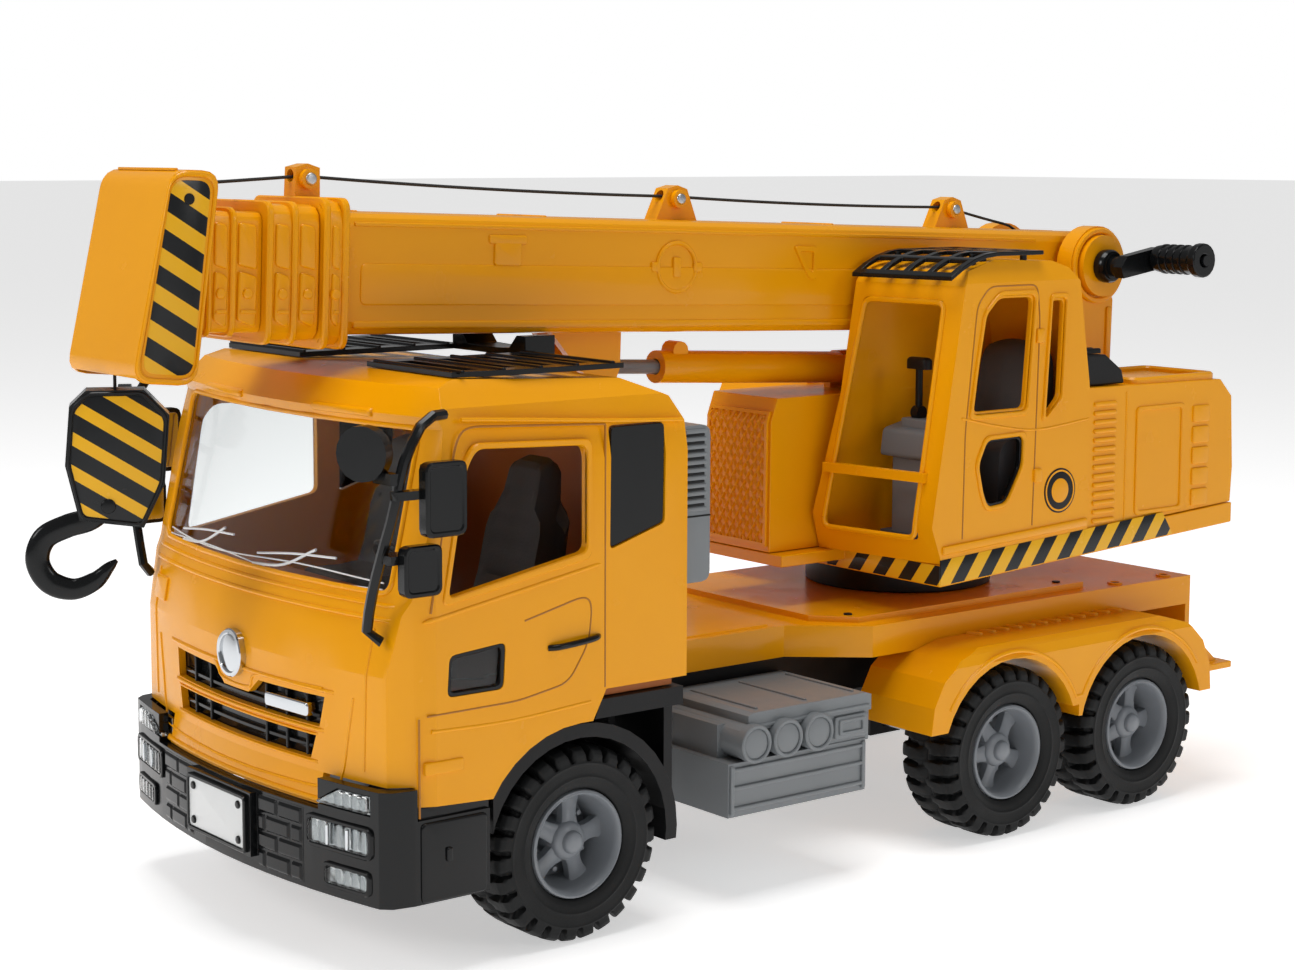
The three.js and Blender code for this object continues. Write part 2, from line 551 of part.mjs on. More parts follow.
// Tool locker with three air tanks on each side.
[['left', 1], ['right', -1]].forEach(([side, sign]) => {
  const inner = deckHalf - 3;
  const outer = halfWidth - 3;
  const lid = slabX(outline([[-18, -7], [46, -7], [46, -0.8], [43, 0.2], [-15, 0.2], [-18, -0.8]]), inner, outer);
  const box = slabX(outline([[-28, -39], [43, -39], [43, -18], [-28, -18]]), inner, outer);
  let locker = union(solidOf(lid), solidOf(box), solidOf(block(inner, outer - 0.5, 24, 45, -19, -5)),
    solidOf(block(inner, outer - 10, -25, 26, -20, -5)));
  [-17, -1, 15].forEach((y) => {
    locker = locker.add(solidOf(rodX(7.2, inner + 5, outer + 0.5, y, -11, 16)));
  });
  piece(`tool_locker_${side}`, sign > 0 ? locker : locker.mirror([1, 0, 0]), silver());
});

// ---- slewing ring and turret ------------------------------------------------------------------------------
const ringTop = plateauZ + gap + ringHeight;
const turretBase = ringTop + runGap;
const turretFloorTop = turretBase + turretFloor;
const ring = solidOf(rodZ(ringRadius, plateauZ + gap, ringTop, 0, slewY, 40))
  .subtract(solidOf(rodZ(spigotRadius + runGap, 0, ringTop + 5, 0, slewY, 28)));
piece('slewing_ring', ring, black());

const turret = new THREE.Group();
body.add(turret);

const nosePlan = outline([[-noseHalf, noseFrontY], [noseHalf, noseFrontY], [noseHalf, turretFrontY],
  [-noseHalf, turretFrontY]]);
const rearPlan = outline(rect(-turretHalf, turretFrontY, turretHalf, turretRearY));
const riseAt = (y) => baseRise * Math.max(0, y - turretFrontY);
const risen = (geometry) => warp(geometry, (point) => {
  point.z += riseAt(point.y);
});
const floorPlate = solidOf(risen(slabZ(rearPlan, turretBase, turretFloorTop)))
  .add(solidOf(slabZ(nosePlan, turretBase + 4, turretFloorTop)))
  .add(solidOf(rodZ(ringRadius - 4, turretBase, turretBase + 6, 0, slewY, 28)))
  .add(solidOf(rodZ(spigotRadius, -2, turretBase + 2, 0, slewY, 28)));
piece('turret_floor', floorPlate, yellow(), turret);

// Retaining washer and screw that hold the turret down from below.
const clipTop = -2 - gap;
piece('slew_washer', rodZ(spigotRadius + 2.4, clipTop - 2.5, clipTop, 0, slewY, 24), black(), turret);

// Turret shell: nose with the cylinder lugs, lower hood on the right, machinery house behind.
const noseTop = houseZ - 1.5;
const noseBase = turretFloorTop + gap;
const noseSide = outline([[noseFrontY, noseBase], [turretFrontY, noseBase],
  [houseFrontY + 2, noseBase + riseAt(houseFrontY + 2)], [houseFrontY + 2, noseTop],
  [noseFrontY + 4, noseTop], [noseFrontY + 0.5, noseTop - 10]]);
const noseInner = craneCabInner - 9;
const cheekInner = 5.2;
const cheekOuter = 9.5;
const noseCheek = outline([[rootPinY - 9, noseTop - 2], [rootPinY + 9, noseTop - 2], [rootPinY + 9, rootPinZ + 2],
  [rootPinY + 5, rootPinZ + 7], [rootPinY - 5, rootPinZ + 7], [rootPinY - 9, rootPinZ + 2]]);
const hoodSide = outline([[turretFrontY + 3, noseBase + riseAt(turretFrontY + 3)],
  [houseFrontY + 2, noseBase + riseAt(houseFrontY + 2)], [houseFrontY + 2, houseZ],
  [turretFrontY + 22, houseZ], [turretFrontY + 8, houseZ - 30]]);
const houseSide = outline([[houseFrontY, noseBase + riseAt(houseFrontY)], [turretRearY, noseBase + riseAt(turretRearY)],
  [turretRearY + 1, noseBase + 26],
  [turretRearY - 1, houseZ - 8], [turretRearY - 9, houseZ], [houseFrontY, houseZ + 1]]);
const houseHalf = turretHalf - 1;
const trunnion = 2;
const shell = union(
  solidOf(slabX(noseSide, -noseHalf, noseInner)),
  solidOf(slabX(noseCheek, cheekInner, cheekOuter)),
  solidOf(slabX(noseCheek, -cheekOuter, -cheekInner)),
  solidOf(slabX(hoodSide, -houseHalf, -noseHalf + 1)),
  solidOf(slabX(houseSide, -houseHalf, houseHalf)))
  .subtract(solidOf(block(-craneCabInner + 4, craneCabInner - 4, houseFrontY + 8, turretRearY - 20, houseZ - 12, houseZ + 5)))
  .subtract(solidOf(rodX(trunnion + runGap, -20, 20, rootPinY, rootPinZ, 12)));
piece('turret_shell', shell, yellow(), turret);
piece('engine_cover', slabX(outline([[184, houseZ + 1 + gap], [208.5, houseZ + 1 + gap], [206.5, houseZ + 7.5],
  [196, houseZ + 14.5], [184, houseZ + 15]]), 50, 78), black(), turret);

// Operator's cab: an open-windowed shell on the left side.
const craneSide = (inset) => outline([
  [turretFrontY + 1 + inset, noseBase - inset * 3], [126, noseBase + riseAt(126) - inset * 3],
  [houseFrontY - gap - inset, noseBase + riseAt(houseFrontY) - inset * 3],
  [houseFrontY - gap - inset, 110], [181 - inset * 0.7, 115],
  [174 - inset, 158], [169 - inset, craneCabTopZ - 3 - inset], [160, craneCabTopZ - inset],
  [126, craneCabTopZ + 1 - inset], [109 + inset, craneCabTopZ - 3 - inset], [105 + inset, 158],
  [turretFrontY - 5 + inset, 60]]);
const craneInnerWall = (inset) => outline([
  [craneCabInner - 9 + inset, noseBase - 10], [turretHalf - inset, noseBase - 10],
  [turretHalf - inset, craneCabTopZ - 8], [turretHalf - 5 - inset, craneCabTopZ + 3 - inset],
  [craneCabInner + inset, craneCabTopZ + 3 - inset], [craneCabInner + inset, houseZ]]);
// The cab's front face turns outwards: its inner side stands further forward.
const slanted = (geometry) => warp(geometry, (point) => {
  if (point.y < 126) {
    point.y -= cabSlant * (turretHalf - point.x);
  }
});
const craneSolid = (inset) => solidOf(slanted(slabX(craneSide(inset), 0, turretHalf + 5)))
  .intersect(solidOf(slabY(craneInnerWall(inset), 60, 200)));
const craneFrontWindow = rounded([[25, 54], [turretHalf - 8, 54], [turretHalf - 9, 152], [31, 152]], 3);
const craneDoorWindow = rounded([[110, 105], [142, 105], [146, 153.5], [125, 153.5], [117, 146], [113, 125]], 3);
const craneQuarterWindow = rounded([[153.5, 101], [163, 109], [165, 151.5], [156.5, 151.5]], 2);
const craneLowWindow = rounded([[120, 66], [131, 67], [140, 82], [140.5, 94.5], [119, 94], [114, 84], [117, 72]], 2);
const nosePocket = solidOf(block(0, noseInner + gap, 50, 200, noseBase - 10, noseTop + gap));
let craneCab = craneSolid(0).subtract(nosePocket)
  .subtract(craneSolid(2.5))
  .subtract(solidOf(slabY(craneFrontWindow, 60, 122)))
  .subtract(solidOf(slabX(craneDoorWindow, turretHalf - 6, turretHalf + 5)))
  .subtract(solidOf(slabX(craneQuarterWindow, turretHalf - 6, turretHalf + 5)))
  .subtract(solidOf(slabX(craneLowWindow, turretHalf - 6, turretHalf + 5)))
  .add(solidOf(slanted(block(24, turretHalf - 6, turretFrontY - 4, turretFrontY - 1, 78, 82))));
piece('operator_cab', craneCab, yellow(), turret);

// Operator's seat, console and control lever in one moulding on a floor plate.
const plateBase = noseBase + riseAt(houseFrontY) + gap;
const plateTop = plateBase + 3;
const operatorFit = union(
  solidOf(block(34, 76, 104, 176, plateBase, plateTop)),
  solidOf(slabX(rounded([[136, plateTop - 1], [172, plateTop - 1], [170, 130], [160, 134], [154, 128],
    [150, 92], [136, 88]], 4, 2), 42, 72)),
  solidOf(block(40, 70, 104, 122, plateTop - 1, 96)),
  solidOf(slabX(outline([[102, 84], [124, 84], [122, 100], [104, 96]]), 36, 74)),
  solidOf(rodZ(1.6, 92, 124, 48, 113, 8)),
  solidOf(block(42, 54, 110, 116, 122, 126)));
piece('operator_interior', operatorFit, darkGrey(), turret);

// Curved lattice guard over the cab roof.
const guardArc = [];
const guardSteps = 8;
for (let index = 0; index <= guardSteps; index += 1) {
  const part = index / guardSteps;
  const y = 98 + 54 * part;
  guardArc.push([y, craneCabTopZ + 2.8 - 9.5 * Math.max(0, (126 - y) / 28) ** 2]);
}
const guardBand = outline([...guardArc, ...guardArc.map(([y, z]) => [y, z + 1.8]).reverse()]);
let guard = solidOf(slanted(slabX(guardBand, craneCabInner + 4, turretHalf - 1)));
for (let row = 0; row < 4; row += 1) {
  for (let column = 0; column < 4; column += 1) {
    const x0 = craneCabInner + 7 + column * 12;
    const y0 = 101 + row * 12.4;
    guard = guard.subtract(solidOf(slanted(block(x0, x0 + 9, y0, y0 + 9.4, 150, 180))));
  }
}
piece('roof_guard', guard, black(), turret);

// Winch tower: two cheeks with inward hubs for the boom, and a rear web.
const cheekInside = boomHalf + 2.5;
const cheekOutside = cheekInside + towerWall;
const hubRadius = 7.7;
const hubBore = shaftRadius + runGap;
const bossRadius = 18;
const towerBase = houseZ + 1 + gap;
const towerCheek = new THREE.Shape();
towerCheek.moveTo(pivotY - 26, towerBase);
towerCheek.lineTo(pivotY + 10, towerBase);
towerCheek.lineTo(pivotY + 11, pivotZ - 16);
towerCheek.absarc(pivotY, pivotZ, bossRadius, -0.95, Math.PI * 1.05, false);
towerCheek.lineTo(pivotY - 19, pivotZ - 14);
const towerSide = (sign) => {
  const x0 = sign > 0 ? cheekInside : -cheekOutside;
  const x1 = sign > 0 ? cheekOutside : -cheekInside;
  const h0 = sign > 0 ? boomHalf - boomWall - 2 : -cheekInside - 1;
  const h1 = sign > 0 ? cheekInside + 1 : -boomHalf + boomWall + 2;
  return solidOf(slabX(towerCheek, x0, x1)).add(solidOf(rodX(hubRadius, h0, h1, pivotY, pivotZ, 24)));
};
let tower = union(towerSide(1), towerSide(-1),
  solidOf(block(-cheekOutside, cheekOutside, pivotY - 24, pivotY + 10, towerBase, towerBase + 5)),
  solidOf(rodX(14, cheekOutside - 1, cheekOutside + 4, pivotY, pivotZ, 28)));
tower = tower.subtract(solidOf(rodX(hubBore, -60, 60, pivotY, pivotZ, 24)));
piece('winch_tower', tower, yellow(), turret);

// Winch: drum on a through shaft, cranked from the left.
const winchProfile = [[0, -cheekOutside - 1], [shaftRadius, -cheekOutside - 1], [shaftRadius, -12], [12, -12],
  [12, -10], [drumRadius, -10], [drumRadius, 10], [12, 10], [12, 12], [shaftRadius, 12],
  [shaftRadius, cheekOutside + 9], [0, cheekOutside + 9]];
piece('winch_drum', turnedX(winchProfile, 24).translate(0, pivotY, pivotZ), black(), turret);

const crankX = cheekOutside + 4 + runGap;
const crankThrow = new THREE.Vector2(18, 3.5);
const gripLength = 27;
const gripY = pivotY + crankThrow.x;
const gripZ = pivotZ + crankThrow.y;
const crankArm = outline([[pivotY - 4, pivotZ - 5], [gripY + 2, gripZ - 5], [gripY + 5, gripZ], [gripY + 2, gripZ + 5],
  [pivotY - 2, pivotZ + 5], [pivotY - 6, pivotZ]]);
const crank = union(
  solidOf(rodX(6, crankX, crankX + 6, pivotY, pivotZ, 20)),
  solidOf(rodX(4.6, crankX + 5, crankX + 14, pivotY, pivotZ, 16)),
  solidOf(slabX(crankArm, crankX + 10, crankX + 15)),
  solidOf(rodX(2.4, crankX + 14, crankX + 15 + gripLength + 1.5, gripY, gripZ, 12)))
  .subtract(solidOf(rodX(shaftRadius + gap, crankX - 1, cheekOutside + 9 + gap, pivotY, pivotZ, 20)));
piece('winch_crank', crank, black(), turret);
const gripProfile = [[2.4 + runGap, 0], [5.8, 0], [6.3, 3], [6.3, gripLength - 5], [7.7, gripLength - 4], [7.7, gripLength],
  [2.4 + runGap, gripLength], [2.4 + runGap, 0]];
piece('crank_grip', turnedX(gripProfile, 20).translate(crankX + 15 + runGap, gripY, gripZ), black(), turret);

// ---- luffing cylinder ----------------------------------------------------------------------------------------
const ramLength = Math.hypot(rootPinY - lugPinY, lugPinZ - rootPinZ);
const ram = new THREE.Group();           // local -Y runs from the root pin to the lug pin
ram.position.set(0, rootPinY, rootPinZ);
ram.rotation.x = -Math.atan2(lugPinZ - rootPinZ, rootPinY - lugPinY);
turret.add(ram);
const barrelFront = -ramLength + 30;
const barrel = union(
  solidOf(rodY(barrelRadius, barrelFront, -10, 0, 0, 20)),
  solidOf(rodX(5.5, -cheekInner + runGap, cheekInner - runGap, 0, 0, 16)),
  solidOf(rodX(trunnion, -cheekOuter - 1, cheekOuter + 1, 0, 0, 12)),
  solidOf(block(-4, 4, -12, 0, -4, 4)),
  solidOf(rodX(4, -4, 4, barrelFront + 10, barrelRadius, 12)))
  .subtract(solidOf(rodY(rodRadius + runGap, barrelFront - 1, -14, 0, 0, 16)));
piece('cylinder_barrel', barrel, yellow(), ram);
const lugGap = 4;                        // half the slot between the boom's lug ears
const rodPiece = union(
  solidOf(rodY(rodRadius, -ramLength + 3, -16, 0, 0, 16)),
  solidOf(rodX(4.4, -lugGap + 0.6, lugGap - 0.6, -ramLength, 0, 16)));
piece('cylinder_rod', rodPiece, silver(), ram);

// ---- boom ----------------------------------------------------------------------------------------------------------
// Built in a frame at the pivot: local -Y runs out along the boom.
const boom = new THREE.Group();
boom.position.set(0, pivotY, pivotZ);
boom.rotation.x = -boomTilt;
turret.add(boom);

// Rounded box section, shrunk by an inset, carried from y0 to y1.
const section = (inset, y0, y1) => {
  const half = boomHalf - inset;
  return solidOf(slabY(rounded([[-half, boomBottom + inset], [half, boomBottom + inset],
    [half, boomTop - inset], [-half, boomTop - inset]], 5 - Math.min(inset, 2), 3), y0, y1));
};
const midInset = boomWall + sectionGap;
const tipInset = midInset + 2 + sectionGap;
const collarFront = -boomReach - collarLength;
const midCollarFront = collarFront - 22;
const tipCollarFront = midCollarFront - 18;
const boomTailY = 13;

// Eye on the boom top that the cord runs through; the cord sits at height z above the pivot.
const eye = (y, z, foot = 11) => union(
  solidOf(slabX(outline([[y - foot, boomTop - 1], [y + foot, boomTop - 1], [y + 5, z + 3.2], [y, z + 4.6], [y - 5, z + 3.2]]),
    -4, 4)),
  solidOf(rodX(3.8, 3, 6.5, y, z - 1, 12)))
  .subtract(solidOf(rodY(cordRadius + 1.9, y - 20, y + 20, 0, z, 10)));
const cordHeights = { drum: 17.1, rear: 24.3, middle: 24.8, front: 27.5, head: 22.8 };
const rearEyeY = -65.4;
const middleEyeY = -224;
const frontEyeY = -397.2;

const lugY = () => {
  const dy = lugPinY - pivotY;
  const dz = lugPinZ - pivotZ;
  return [dy * Math.cos(boomTilt) - dz * Math.sin(boomTilt), dy * Math.sin(boomTilt) + dz * Math.cos(boomTilt)];
};
const [lugLocalY, lugLocalZ] = lugY();
const lugEar = outline([[lugLocalY - 30, boomBottom + 1], [lugLocalY - 14, lugLocalZ - 1], [lugLocalY - 4, lugLocalZ - 5],
  [lugLocalY + 4, lugLocalZ - 5], [lugLocalY + 6, lugLocalZ], [lugLocalY + 6, boomBottom + 1]]);
let mainSection = union(
  section(0, collarFront, boomTailY),
  section(-4, collarFront, -boomReach),
  eye(rearEyeY, cordHeights.rear),
  eye(middleEyeY, cordHeights.middle),
  eye(frontEyeY, cordHeights.front, 5.4),
  solidOf(slabX(lugEar, lugGap, lugGap + 3.5)),
  solidOf(slabX(lugEar, -lugGap - 3.5, -lugGap)));
mainSection = mainSection
  .subtract(section(boomWall, collarFront - 5, boomTailY + 5))
  .subtract(solidOf(block(-7, 7, -32, boomTailY + 5, 5, boomTop + 5)))
  .subtract(solidOf(rodX(hubRadius + runGap, -40, 40, 0, 0, 24)));
piece('boom_main_section', mainSection, yellow(), boom);

const sectionTail = -110;
const midSection = section(midInset, midCollarFront, sectionTail)
  .add(section(-2, midCollarFront, collarFront - gap))
  .subtract(section(midInset + 2, midCollarFront - 5, sectionTail + 5));
piece('boom_middle_section', midSection, yellow(), boom);

// Head box: hollow, open underneath, leaning forward.
const headOutline = (inset) => [[-477 + inset * 0.075, -45 - inset * 5], [-452.5 - inset * 1.537, -46.5 - inset * 5],
  [-444.5 - inset, 28 - inset], [-463.5 + inset, 28 - inset]];
const headBox = (inset, half) => solidOf(slabX(rounded(headOutline(inset), 7, 4), -half, half));
const headPinY = -456.5;
const headPinZ = 18;
const guideBar = [-468.4, -28.5];         // bar the cord leaves the head over
const headShell = headBox(0, headHalf)
  .subtract(headBox(2.2, headHalf - 2.2))
  .add(solidOf(rodX(2, -headHalf + 1, headHalf - 1, ...guideBar, 12)))
  .subtract(solidOf(block(-3, 3, -448, -430, cordHeights.head - 3, cordHeights.head + 1.6)))
  .subtract(solidOf(rodX(2 + gap, -40, 40, headPinY, headPinZ, 12)));
piece('boom_head', headShell, yellow(), boom);

const headClear = solidOf(slabX(rounded(headOutline(-gap), 7, 4), -40, 40));
const tipSection = section(tipInset, -462, sectionTail - 30)
  .add(section(1, tipCollarFront - 12, midCollarFront - gap))
  .subtract(section(tipInset + 2, -470, sectionTail))
  .subtract(headClear);
piece('boom_tip_section', tipSection, yellow(), boom);

const guideProfile = [[0, -headHalf - 0.8], [2, -headHalf - 0.8], [2, -3.5], [5.6, -3.5], [4.2, -1],
  [4.2, 1], [5.6, 3.5], [2, 3.5], [2, headHalf + 0.8], [0, headHalf + 0.8]];
piece('head_guide', turnedX(guideProfile, 24).translate(0, headPinY, headPinZ), black(), boom);

// The cord: from the drum, through the three eyes, into the head.
const cordSection = new THREE.Shape();
cordSection.absarc(0, 0, cordRadius, 0, Math.PI * 2);
const cordPath = new THREE.CurvePath();
const cordPoints = [[-8, 9], [-24.6, cordHeights.drum], [rearEyeY, cordHeights.rear], [middleEyeY, cordHeights.middle],
  [frontEyeY, cordHeights.front], [-447.5, cordHeights.head]];
cordPoints.slice(1).forEach(([y, z], index) => {
  const [fromY, fromZ] = cordPoints[index];
  cordPath.add(new THREE.LineCurve3(new THREE.Vector3(0, fromY, fromZ), new THREE.Vector3(0, y, z)));
});
piece('winch_cord', new THREE.ExtrudeGeometry(cordSection,
  { steps: 20, curveSegments: 4, extrudePath: cordPath, bevelEnabled: false }), finish(0x0c0c0c, 0.8), boom);

// ---- hook block -----------------------------------------------------------------------------------------------------------
// Hangs plumb under the head, turned on its cord; local X is across the plates, local Y along them.
const hookGroup = new THREE.Group();
const blockCentreY = -232;
const blockTop = 129.4;
hookGroup.position.set(0, blockCentreY, blockTop);
hookGroup.rotation.z = hookTurn;
turret.add(hookGroup);
const blockOutline = [[-10, 0], [10, 0], [18.5, -9], [16.5, -33], [9, -48.5], [-13, -45.5], [-17.5, -26], [-15.7, -5.5]];
const plateHalf = 6.5;
const slotHalf = 2.6;
const blockSolid = solidOf(slabX(outline(blockOutline), -plateHalf, plateHalf))
  .subtract(solidOf(block(-slotHalf, slotHalf, -18, 18, -60, -33)))
  .subtract(solidOf(rodZ(1.6, -12, 5, 0, 0, 10)))
  .subtract(solidOf(rodX(1.6 + runGap, -10, 10, -3, -40.5, 12)));
piece('hook_block', blockSolid, black(), hookGroup);

const hookShape = new THREE.Shape();
hookShape.moveTo(1.5, -37);
hookShape.lineTo(-3, -36.4);
hookShape.lineTo(-8, -42.5);
hookShape.lineTo(-18, -43.5);
hookShape.absarc(-18.5, -58, 14.5, Math.PI * 0.5, Math.PI * 1.75, false);
hookShape.lineTo(-1, -63);
hookShape.lineTo(0.5, -60.5);
hookShape.lineTo(-6, -61);
hookShape.absarc(-16, -60, 6.6, -Math.PI * 0.28, -Math.PI * 1.4, true);
hookShape.lineTo(-6, -50);
hookShape.lineTo(0.5, -44.5);
const hookSolid = solidOf(slabX(hookShape, -slotHalf + runGap, slotHalf - runGap))
  .add(solidOf(rodX(1.6, -plateHalf - 0.6, plateHalf + 0.6, -3, -40.5, 12)));
piece('hook', hookSolid, black(), hookGroup);

const fallTop = 148;
const fallBottom = blockTop - 10;
piece('hook_cord', rodZ(cordRadius, fallBottom, fallTop, 0, blockCentreY, 8), finish(0x0c0c0c, 0.8), turret);

// ---- origin at the middle of the footprint, on the ground -----------------------------------------------------------------
model.updateMatrixWorld(true);
const bounds = new THREE.Box3().setFromObject(model, true);
const centre = bounds.getCenter(new THREE.Vector3());
model.position.set(-centre.x, -centre.y, -bounds.min.z);

export default model;
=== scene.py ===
# Toy crane truck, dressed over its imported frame.
import bpy
import bmesh
import math
import numpy as np
from mathutils import Matrix, Vector


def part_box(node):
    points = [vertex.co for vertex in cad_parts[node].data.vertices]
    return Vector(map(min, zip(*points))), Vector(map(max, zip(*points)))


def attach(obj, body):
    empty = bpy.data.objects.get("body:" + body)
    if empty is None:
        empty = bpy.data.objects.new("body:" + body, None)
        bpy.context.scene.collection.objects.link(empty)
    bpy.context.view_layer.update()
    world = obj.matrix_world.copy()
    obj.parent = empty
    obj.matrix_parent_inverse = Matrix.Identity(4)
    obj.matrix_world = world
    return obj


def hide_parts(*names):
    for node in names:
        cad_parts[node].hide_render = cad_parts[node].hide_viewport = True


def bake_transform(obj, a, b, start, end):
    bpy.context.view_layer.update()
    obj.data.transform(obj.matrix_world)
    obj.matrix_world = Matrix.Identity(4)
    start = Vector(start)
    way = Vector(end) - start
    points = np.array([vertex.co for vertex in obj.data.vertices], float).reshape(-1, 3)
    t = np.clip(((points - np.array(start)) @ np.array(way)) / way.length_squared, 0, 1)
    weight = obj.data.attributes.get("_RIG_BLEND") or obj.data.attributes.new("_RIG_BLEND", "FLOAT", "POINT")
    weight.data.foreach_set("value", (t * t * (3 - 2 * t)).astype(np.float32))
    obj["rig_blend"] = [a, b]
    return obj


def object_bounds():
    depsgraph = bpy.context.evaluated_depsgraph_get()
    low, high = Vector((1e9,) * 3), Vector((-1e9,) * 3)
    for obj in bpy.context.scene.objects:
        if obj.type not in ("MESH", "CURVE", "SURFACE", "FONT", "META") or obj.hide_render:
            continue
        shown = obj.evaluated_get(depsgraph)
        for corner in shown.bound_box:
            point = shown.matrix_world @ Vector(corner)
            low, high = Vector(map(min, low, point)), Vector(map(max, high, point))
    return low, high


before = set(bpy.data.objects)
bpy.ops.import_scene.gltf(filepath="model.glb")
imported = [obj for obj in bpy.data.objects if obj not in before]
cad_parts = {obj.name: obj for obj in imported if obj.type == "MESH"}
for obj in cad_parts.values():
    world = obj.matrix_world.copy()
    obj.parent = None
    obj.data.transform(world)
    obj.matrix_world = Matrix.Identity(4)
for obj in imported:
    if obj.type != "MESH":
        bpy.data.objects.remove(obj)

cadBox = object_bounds()
axleLow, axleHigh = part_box("front_axle")
# pieces are dimensioned from the truck's own drawing, in mm
drawingShift = (axleLow.y + axleHigh.y) * 500 + 99.3
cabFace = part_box("cab_shell")[1].x * 1000  # outer face of the cab door
print("frame loaded, cab face at", round(cabFace, 1), "mm")


def toFrame(points):
    # drawing millimetres to the frame's metres, moved along Y by the drawing's shift
    return (np.asarray(points, float) + [0.0, drawingShift, 0.0]) / 1000.0


# finishes: colour, shade and wear of each moulding
finishes = {
    "cabYellow": {"base": (0.86, 0.365, 0.001), "shade": (0.78, 0.305, 0.001), "rough": (0.17, 0.28),
        "grain": 900, "bump": 0.035, "gleam": 0.27, "slot": "yellow"},
    # painted shade: this darker yellow stands for the shadow inside the moulded seam grooves, which are the
    # cab's own yellow
    "grooveShadowYellow": {"base": (0.42, 0.155, 0.001), "shade": (0.34, 0.12, 0.001), "rough": (0.35, 0.5),
        "grain": 900, "bump": 0.05, "slot": "yellow"},
    "glossBlack": {"base": (0.003, 0.0035, 0.004), "shade": (0.006, 0.0065, 0.007), "rough": (0.12, 0.22),
        "grain": 700, "bump": 0.05, "gleam": 0.26, "slot": "black"},
    "satinBlack": {"base": (0.004, 0.004, 0.0045), "shade": (0.008, 0.008, 0.0085), "rough": (0.30, 0.44),
        "grain": 1100, "bump": 0.12, "gleam": 0.22, "slot": "black"},
    "tankSilver": {"base": (0.19, 0.205, 0.215), "shade": (0.155, 0.168, 0.178), "rough": (0.30, 0.44),
        "grain": 1500, "bump": 0.08, "coat": 0.1, "slot": "silver_grey"},
    "rimSilver": {"base": (0.23, 0.245, 0.265), "shade": (0.18, 0.195, 0.215), "rough": (0.30, 0.45),
        "grain": 1500, "bump": 0.10, "coat": 0.1, "slot": "silver_grey"},
    # painted shade: the cab's inside is the same yellow plastic, drawn brown-orange for the shadow that fills
    # it
    "interiorShadeBrown": {"base": (0.50, 0.16, 0.03), "shade": (0.40, 0.12, 0.022), "rough": (0.38, 0.55), "grain": 800,
        "bump": 0.10, "slot": "interior_brown"},
    "seatGrey": {"base": (0.060, 0.063, 0.068), "shade": (0.040, 0.042, 0.046), "rough": (0.5, 0.68),
        "grain": 1200, "bump": 0.22, "slot": "dark_grey"},
    "consoleGrey": {"base": (0.16, 0.18, 0.195), "shade": (0.11, 0.125, 0.14), "rough": (0.38, 0.52),
        "grain": 900, "bump": 0.10, "slot": "dark_grey"},
    "tyreRubber": {"base": (0.0045, 0.005, 0.005), "shade": (0.010, 0.0105, 0.011), "rough": (0.45, 0.62),
        "grain": 1300, "bump": 0.22, "gleam": 0.22, "slot": "rubber"},
    "pinSteel": {"base": (0.55, 0.56, 0.58), "shade": (0.42, 0.43, 0.45), "rough": (0.22, 0.38), "grain": 2200,
        "bump": 0.10, "slot": "steel", "metal": 1.0},
    "mirrorBright": {"base": (0.62, 0.64, 0.66), "shade": (0.52, 0.54, 0.56), "rough": (0.06, 0.16),
        "grain": 500, "bump": 0.03, "slot": "silver_grey", "metal": 1.0},
    "lampDish": {"base": (0.30, 0.32, 0.33), "shade": (0.20, 0.215, 0.22), "rough": (0.10, 0.22), "grain": 500,
        "bump": 0.03, "slot": "silver_grey", "metal": 1.0},
    "plateWhite": {"base": (0.72, 0.73, 0.73), "shade": (0.62, 0.63, 0.63), "rough": (0.25, 0.38), "grain": 700,
        "bump": 0.04, "coat": 0.2, "slot": "clear"},
    "liftCord": {"base": (0.010, 0.010, 0.010), "shade": (0.03, 0.03, 0.03), "rough": (0.7, 0.85),
        "grain": 2600, "bump": 0.5, "slot": "cord"},
}


